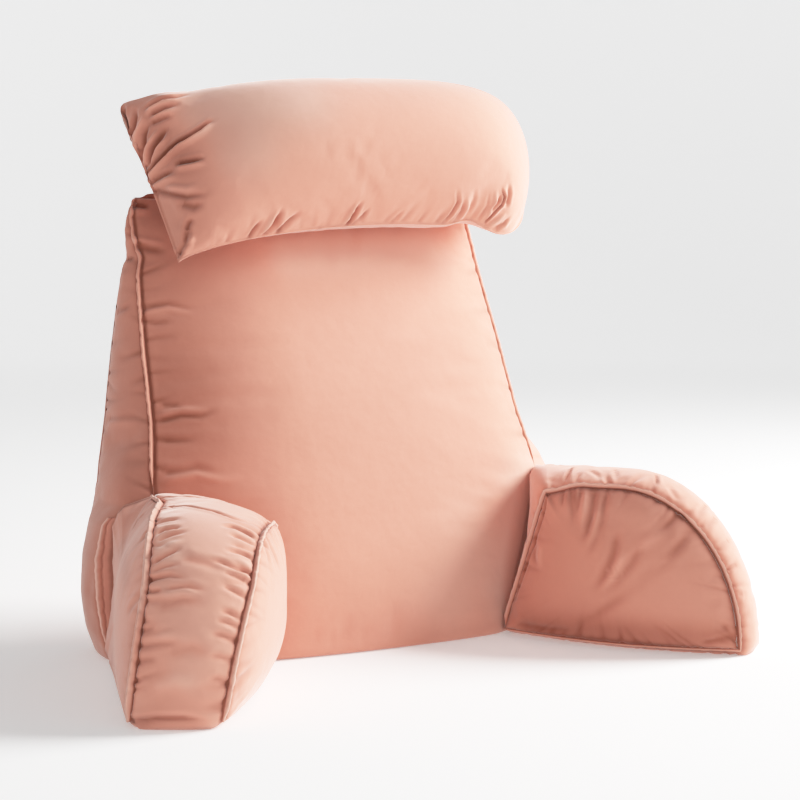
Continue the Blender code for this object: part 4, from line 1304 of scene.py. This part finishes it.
def dress_head_pillow(backrest_tree, material):
    """Makes the head pillow's cover, lying on the backrest."""
    grid, front = head_grid()
    smooth, _ = head_grid(lip=False)
    seams = [smooth[:, 0], smooth[:, HEAD_ROWS], smooth[0], smooth[-1]]

    def held(points):
        return np.zeros(len(points), bool)

    grid = grid + slack(
        smooth, None, seams, held, voxel=5.0 * MM, spare=0.010, cap=0.7 * MM, keep_swell=0.2
    )

    normals = grid_normals(grid)
    lift = np.zeros(grid.shape[:2])
    travelled = travel(grid, 1)
    along = travel(grid, 0)[:, 0:1] * np.ones_like(travelled)
    from_left = grid[..., 0] - grid[..., 0].min()
    # Painted shade over the pillow's left end, which turns away from the key light.
    shade = 0.30 * (1.0 - smooth_step(from_left, 0.02, 0.10))
    clear = smooth_step(along, 0.02, 0.05) * smooth_step(along.max() - along, 0.02, 0.05)
    for number, (seam, direction) in enumerate(((0, 1), (HEAD_ROWS, -1), (HEAD_ROWS, 1))):
        away = direction * (travelled - travelled[:, seam:seam + 1]) - 3.5 * MM
        added, darker = puckers(along, away, 70 + number, spacing=0.017, depth=1.1 * MM, length=0.018)
        lift += added * clear
        shade += darker * clear
    grid = grid + normals * lift[..., None]
    creased, darker = crease_by_pixels(grid, None, HEAD_CREASES)
    last = travelled[:, HEAD_ROWS:HEAD_ROWS + 1]
    off_seam = smooth_step(np.minimum(travelled, np.abs(last - travelled)), 0.001, 0.008)
    grid = grid + (creased - grid) * off_seam[..., None]
    shade += darker

    # The pillow is pressed against the backrest where it lies on it.
    reach = 0.25
    points = grid.reshape(-1, 3)
    for index, point in enumerate(points):
        place, _, _, distance = backrest_tree.ray_cast(Vector(point + front * reach), Vector(-front))
        if place is not None and distance < reach + 1.5 * MM:
            points[index] = np.array(place) + front * 1.5 * MM
    grid = points.reshape(grid.shape)
    add_cover("head_pillow", grid, None, shade, material)


LIP_SET_BACK = 4.5 * MM      # how far the lip's bead is inside the backrest's side


def make_pocket_lip(material):
    """Turned edge of the pocket: a folded strip with a soft bead along its outer edge."""
    low, high, rows, columns = 0.022, 0.148, 64, 26
    along = unit((ROOT_OUTER - ROOT_CORNER) * (1.0, 1.0, 0.0))
    rings, shades = [], []
    for row in range(rows + 1):
        height = low + (high - low) * row / rows
        taper = math.sin(math.pi * (0.12 + 0.76 * row / rows)) ** 0.5
        start = np.array((ROOT_CORNER[0], root_face_y(ROOT_CORNER[0], height), height))
        reach = flare_reach(height) - LIP_SET_BACK * taper + 0.4 * MM * ripple(height, 5)
        front, rear, dark = [], [], []
        for column in range(columns + 1):
            share = column / columns
            point = start + along * (reach - FACING_WIDTH * taper * (1.0 - share))
            point[1] = root_face_y(point[0], height)
            bead = bell(share - 0.93, 0.06)
            fold = bell(share - 0.74 - 0.018 * ripple(height, 6), 0.035)
            rounded = math.sqrt(max(0.0, 1.0 - max(0.0, (share - 0.93) / 0.07) ** 2))
            thick = (FACING_THICKNESS + 1.2 * MM * bead - 1.3 * MM * fold) * rounded
            rear.append(point - ROOT_NORMAL * CLEARANCE)
            front.append(point - ROOT_NORMAL * (CLEARANCE + max(thick, 0.1 * MM)))
            # Painted shade in the fold and on the part behind the arm's edge, and a painted highlight on
            # the bead.
            dark.append(0.5 * fold - 1.0 * bead + 0.6 * (1.0 - smooth_step(share, 0.40, 0.60)))
        rings.append(front + rear[::-1])
        shades.append(dark + dark[::-1])
    grid = np.array(rings) * (-1.0, 1.0, 1.0)
    ends = end_points(grid)
    lip = add_piece("pocket_lip", "pocket_facing", grid, ends, np.array(shades), material)


# ---- materials ------------------------------------------------------------------------------
SALMON = (0.73, 0.312, 0.232, 1.0)
# Painted shade and painted light: darker and lighter copies of the cloth's colour, mixed in by the shade
# attribute.
SALMON_PAINTED_SHADE = (0.20, 0.052, 0.028, 1.0)
SALMON_PAINTED_LIGHT = (0.88, 0.56, 0.46, 1.0)
SHEEN_TINT = (1.0, 0.90, 0.86, 1.0)
PAPER = (0.90, 0.90, 0.90, 1.0)
WHITE = (1.0, 1.0, 1.0, 1.0)


def set_inputs(tree, node, inputs):
    """Gives a node's inputs their values, or links them from other nodes' outputs."""
    for socket, value in inputs.items():
        if isinstance(value, bpy.types.NodeSocket):
            tree.links.new(value, node.inputs[socket])
        else:
            node.inputs[socket].default_value = value


def add_node(tree, kind, inputs, output, **settings):
    """Adds a node of this kind and returns one of its outputs."""
    node = tree.nodes.new("ShaderNode" + kind)
    for name, value in settings.items():
        setattr(node, name, value)
    set_inputs(tree, node, inputs)
    return node.outputs[output]


def mapped(tree, value, from_low, from_high, to_low, to_high):
    """A value moved from one range to another."""
    return add_node(tree, "MapRange", {
        "Value": value, "From Min": from_low, "From Max": from_high, "To Min": to_low, "To Max": to_high,
    }, "Result")


def new_material(name):
    """A new material and its node tree."""
    material = bpy.data.materials.new(name)
    material.use_nodes = True
    return material, material.node_tree


def velvet(name):
    """Short-pile velvet: patches and mottling of the pile at random, painted shade and painted light from
    the shade attribute, and a soft sheen.
    """
    material, tree = new_material(name)
    place = add_node(tree, "TexCoord", {}, "Object")

    def noise(scale, detail, roughness=0.5, distortion=0.0):
        return add_node(tree, "TexNoise", {
            "Vector": place, "Scale": scale, "Detail": detail, "Roughness": roughness,
            "Distortion": distortion,
        }, "Fac")

    def mixed(share, first, second):
        return add_node(tree, "Mix", {0: share, 6: first, 7: second}, 2, data_type="RGBA")

    def darkened(share):
        return [share * part for part in SALMON[:3]] + [1.0]

    nap_tone_and_painted_shading = mapped(tree, noise(9.0, 2.0, 0.5, 0.6), 0.35, 0.65, 0.0, 1.0)
    mottled = mapped(tree, noise(160.0, 3.0, 0.6), 0.3, 0.7, 0.0, 0.35)
    shade = add_node(tree, "Attribute", {}, "Fac", attribute_name="shade")
    tone = mixed(nap_tone_and_painted_shading, SALMON, darkened(0.94))
    tone = mixed(mottled, tone, darkened(0.90))
    # Painted shade where the shade attribute is above 0, painted light where it is below 0.
    tone = mixed(mapped(tree, shade, 0.0, 1.0, 0.0, 0.85), tone, SALMON_PAINTED_SHADE)
    tone = mixed(mapped(tree, shade, 0.0, -1.0, 0.0, 0.75), tone, SALMON_PAINTED_LIGHT)
    pile = add_node(
        tree, "Bump", {"Strength": 0.35, "Distance": 0.0004, "Height": noise(1400.0, 2.0)}, "Normal"
    )
    soft = add_node(tree, "Bump", {
        "Strength": 0.5, "Distance": 0.0012, "Height": noise(55.0, 3.0, 0.45), "Normal": pile,
    }, "Normal")
    set_inputs(tree, tree.nodes["Principled BSDF"], {
        "Base Color": tone, "Normal": soft, "Roughness": 0.9, "Specular IOR Level": 0.15,
        "Sheen Weight": 0.6, "Sheen Roughness": 0.45, "Sheen Tint": SHEEN_TINT,
    })
    return material


def backdrop_material():
    """Pale matt paper that glows a little, more towards its rim, so that it stays near white all round."""
    material, tree = new_material("pale_backdrop")
    material.cycles.emission_sampling = "NONE"
    place = add_node(tree, "TexCoord", {}, "Object")
    away = add_node(tree, "VectorMath", {0: place}, "Value", operation="LENGTH")
    set_inputs(tree, tree.nodes["Principled BSDF"], {
        "Base Color": PAPER, "Roughness": 0.95, "Specular IOR Level": 0.1,
        "Emission Color": WHITE, "Emission Strength": mapped(tree, away, 1.0, 5.0, 0.26, 0.50),
    })
    return material


# ---- stage ----------------------------------------------------------------------------------
# The brightest light shown, and how bright each level of light is shown.
BRIGHTEST = 2.0
TONES = (
    (0.0, 0.0), (0.15, 0.15), (0.30, 0.30), (0.50, 0.485), (0.70, 0.625),
    (0.90, 0.735), (1.10, 0.815), (1.40, 0.892), (1.70, 0.945), (BRIGHTEST, 0.980),
)


def make_stage():
    """A pale floor that curves up into a backdrop all round."""
    segments, rings = 96, []
    profile = [(2.0, 0.0), (4.0, 0.0), (5.0, 0.0)]
    profile += [
        (5.0 + 2.5 * math.sin(turn), 2.5 * (1.0 - math.cos(turn)))
        for turn in np.linspace(0.1, QUARTER_TURN, 14)
    ]
    profile.append((7.5, 3.2))
    for radius, height in profile:
        turns = 2.0 * math.pi * np.arange(segments) / segments
        rings.append(np.column_stack((
            radius * np.cos(turns), radius * np.sin(turns), np.full(segments, height - 0.0004)
        )))
    grid = np.array(rings)
    points = np.vstack((grid.reshape(-1, 3), (0.0, 0.0, -0.0004)))
    faces = grid_faces(len(rings), segments, False)
    faces += [((index + 1) % segments, index, len(points) - 1) for index in range(segments)]
    mesh = bpy.data.meshes.new("backdrop")
    mesh.from_pydata(points.tolist(), [], faces)
    mesh.shade_smooth()
    backdrop = add_object("backdrop", mesh)
    backdrop.data.materials.append(backdrop_material())


KEY_LIGHT = {"shape": "DISK", "size": 1.4, "energy": 176.0, "color": (1.0, 0.99, 0.98)}
KEY_DIRECTION = unit(CAMERA_RIGHT - CAMERA_BACK * 0.34 + (0.0, 0.0, 0.62))
KEY_DISTANCE = 2.6
SKY_STRENGTH = 0.35


def place_facing(thing, place, back):
    """Puts a lamp or camera in its place, with its back turned this way."""
    thing.location = place
    thing.rotation_euler = Vector(back).to_track_quat("Z", "Y").to_euler()


def make_lights():
    """One soft light from the right, and a weak even sky."""
    light = bpy.data.lights.new("key_light", "AREA")
    for name, value in KEY_LIGHT.items():
        setattr(light, name, value)
    lamp = add_object("key_light", light)
    place_facing(lamp, CAMERA_AIM + KEY_DIRECTION * KEY_DISTANCE, KEY_DIRECTION)
    world = bpy.data.worlds.new("studio")
    bpy.context.scene.world = world
    world.use_nodes = True
    tree = world.node_tree
    set_inputs(tree, tree.nodes["Background"], {"Color": WHITE, "Strength": SKY_STRENGTH})


def set_tone_curve():
    """A photograph's soft shoulder: even tones stay as they are and bright ones ease into white."""
    view = bpy.context.scene.view_settings
    view.view_transform = "Standard"
    view.use_curve_mapping = True
    mapping = view.curve_mapping
    mapping.white_level = [BRIGHTEST] * 3
    tone = mapping.curves[3]
    tone.points[0].location = (0.0, 0.0)
    tone.points[1].location = (1.0, TONES[-1][1])
    for light, shown in TONES[1:-1]:
        tone.points.new(light / BRIGHTEST, shown)
    mapping.update()


def make_camera():
    data = bpy.data.cameras.new("camera")
    data.lens = LENS
    data.sensor_width = SENSOR
    camera = add_object("camera", data)
    place_facing(camera, CAMERA_PLACE, CAMERA_BACK)
    bpy.context.scene.camera = camera


# ---- the whole scene ------------------------------------------------------------------------
make_camera()
make_lights()
make_stage()
set_tone_curve()

arm_velvet = velvet("arm_velvet")
backrest_tree = dress_backrest(velvet("backrest_velvet"))
dress_arm("arm_right", ARM_RIGHT, 1.0, 100, RIGHT_ARM_CREASES, arm_velvet)
dress_arm("arm_left", ARM_LEFT, -1.0, 200, LEFT_ARM_CREASES, arm_velvet)
dress_head_pillow(backrest_tree, velvet("head_velvet"))
make_pocket_lip(velvet("facing_velvet"))
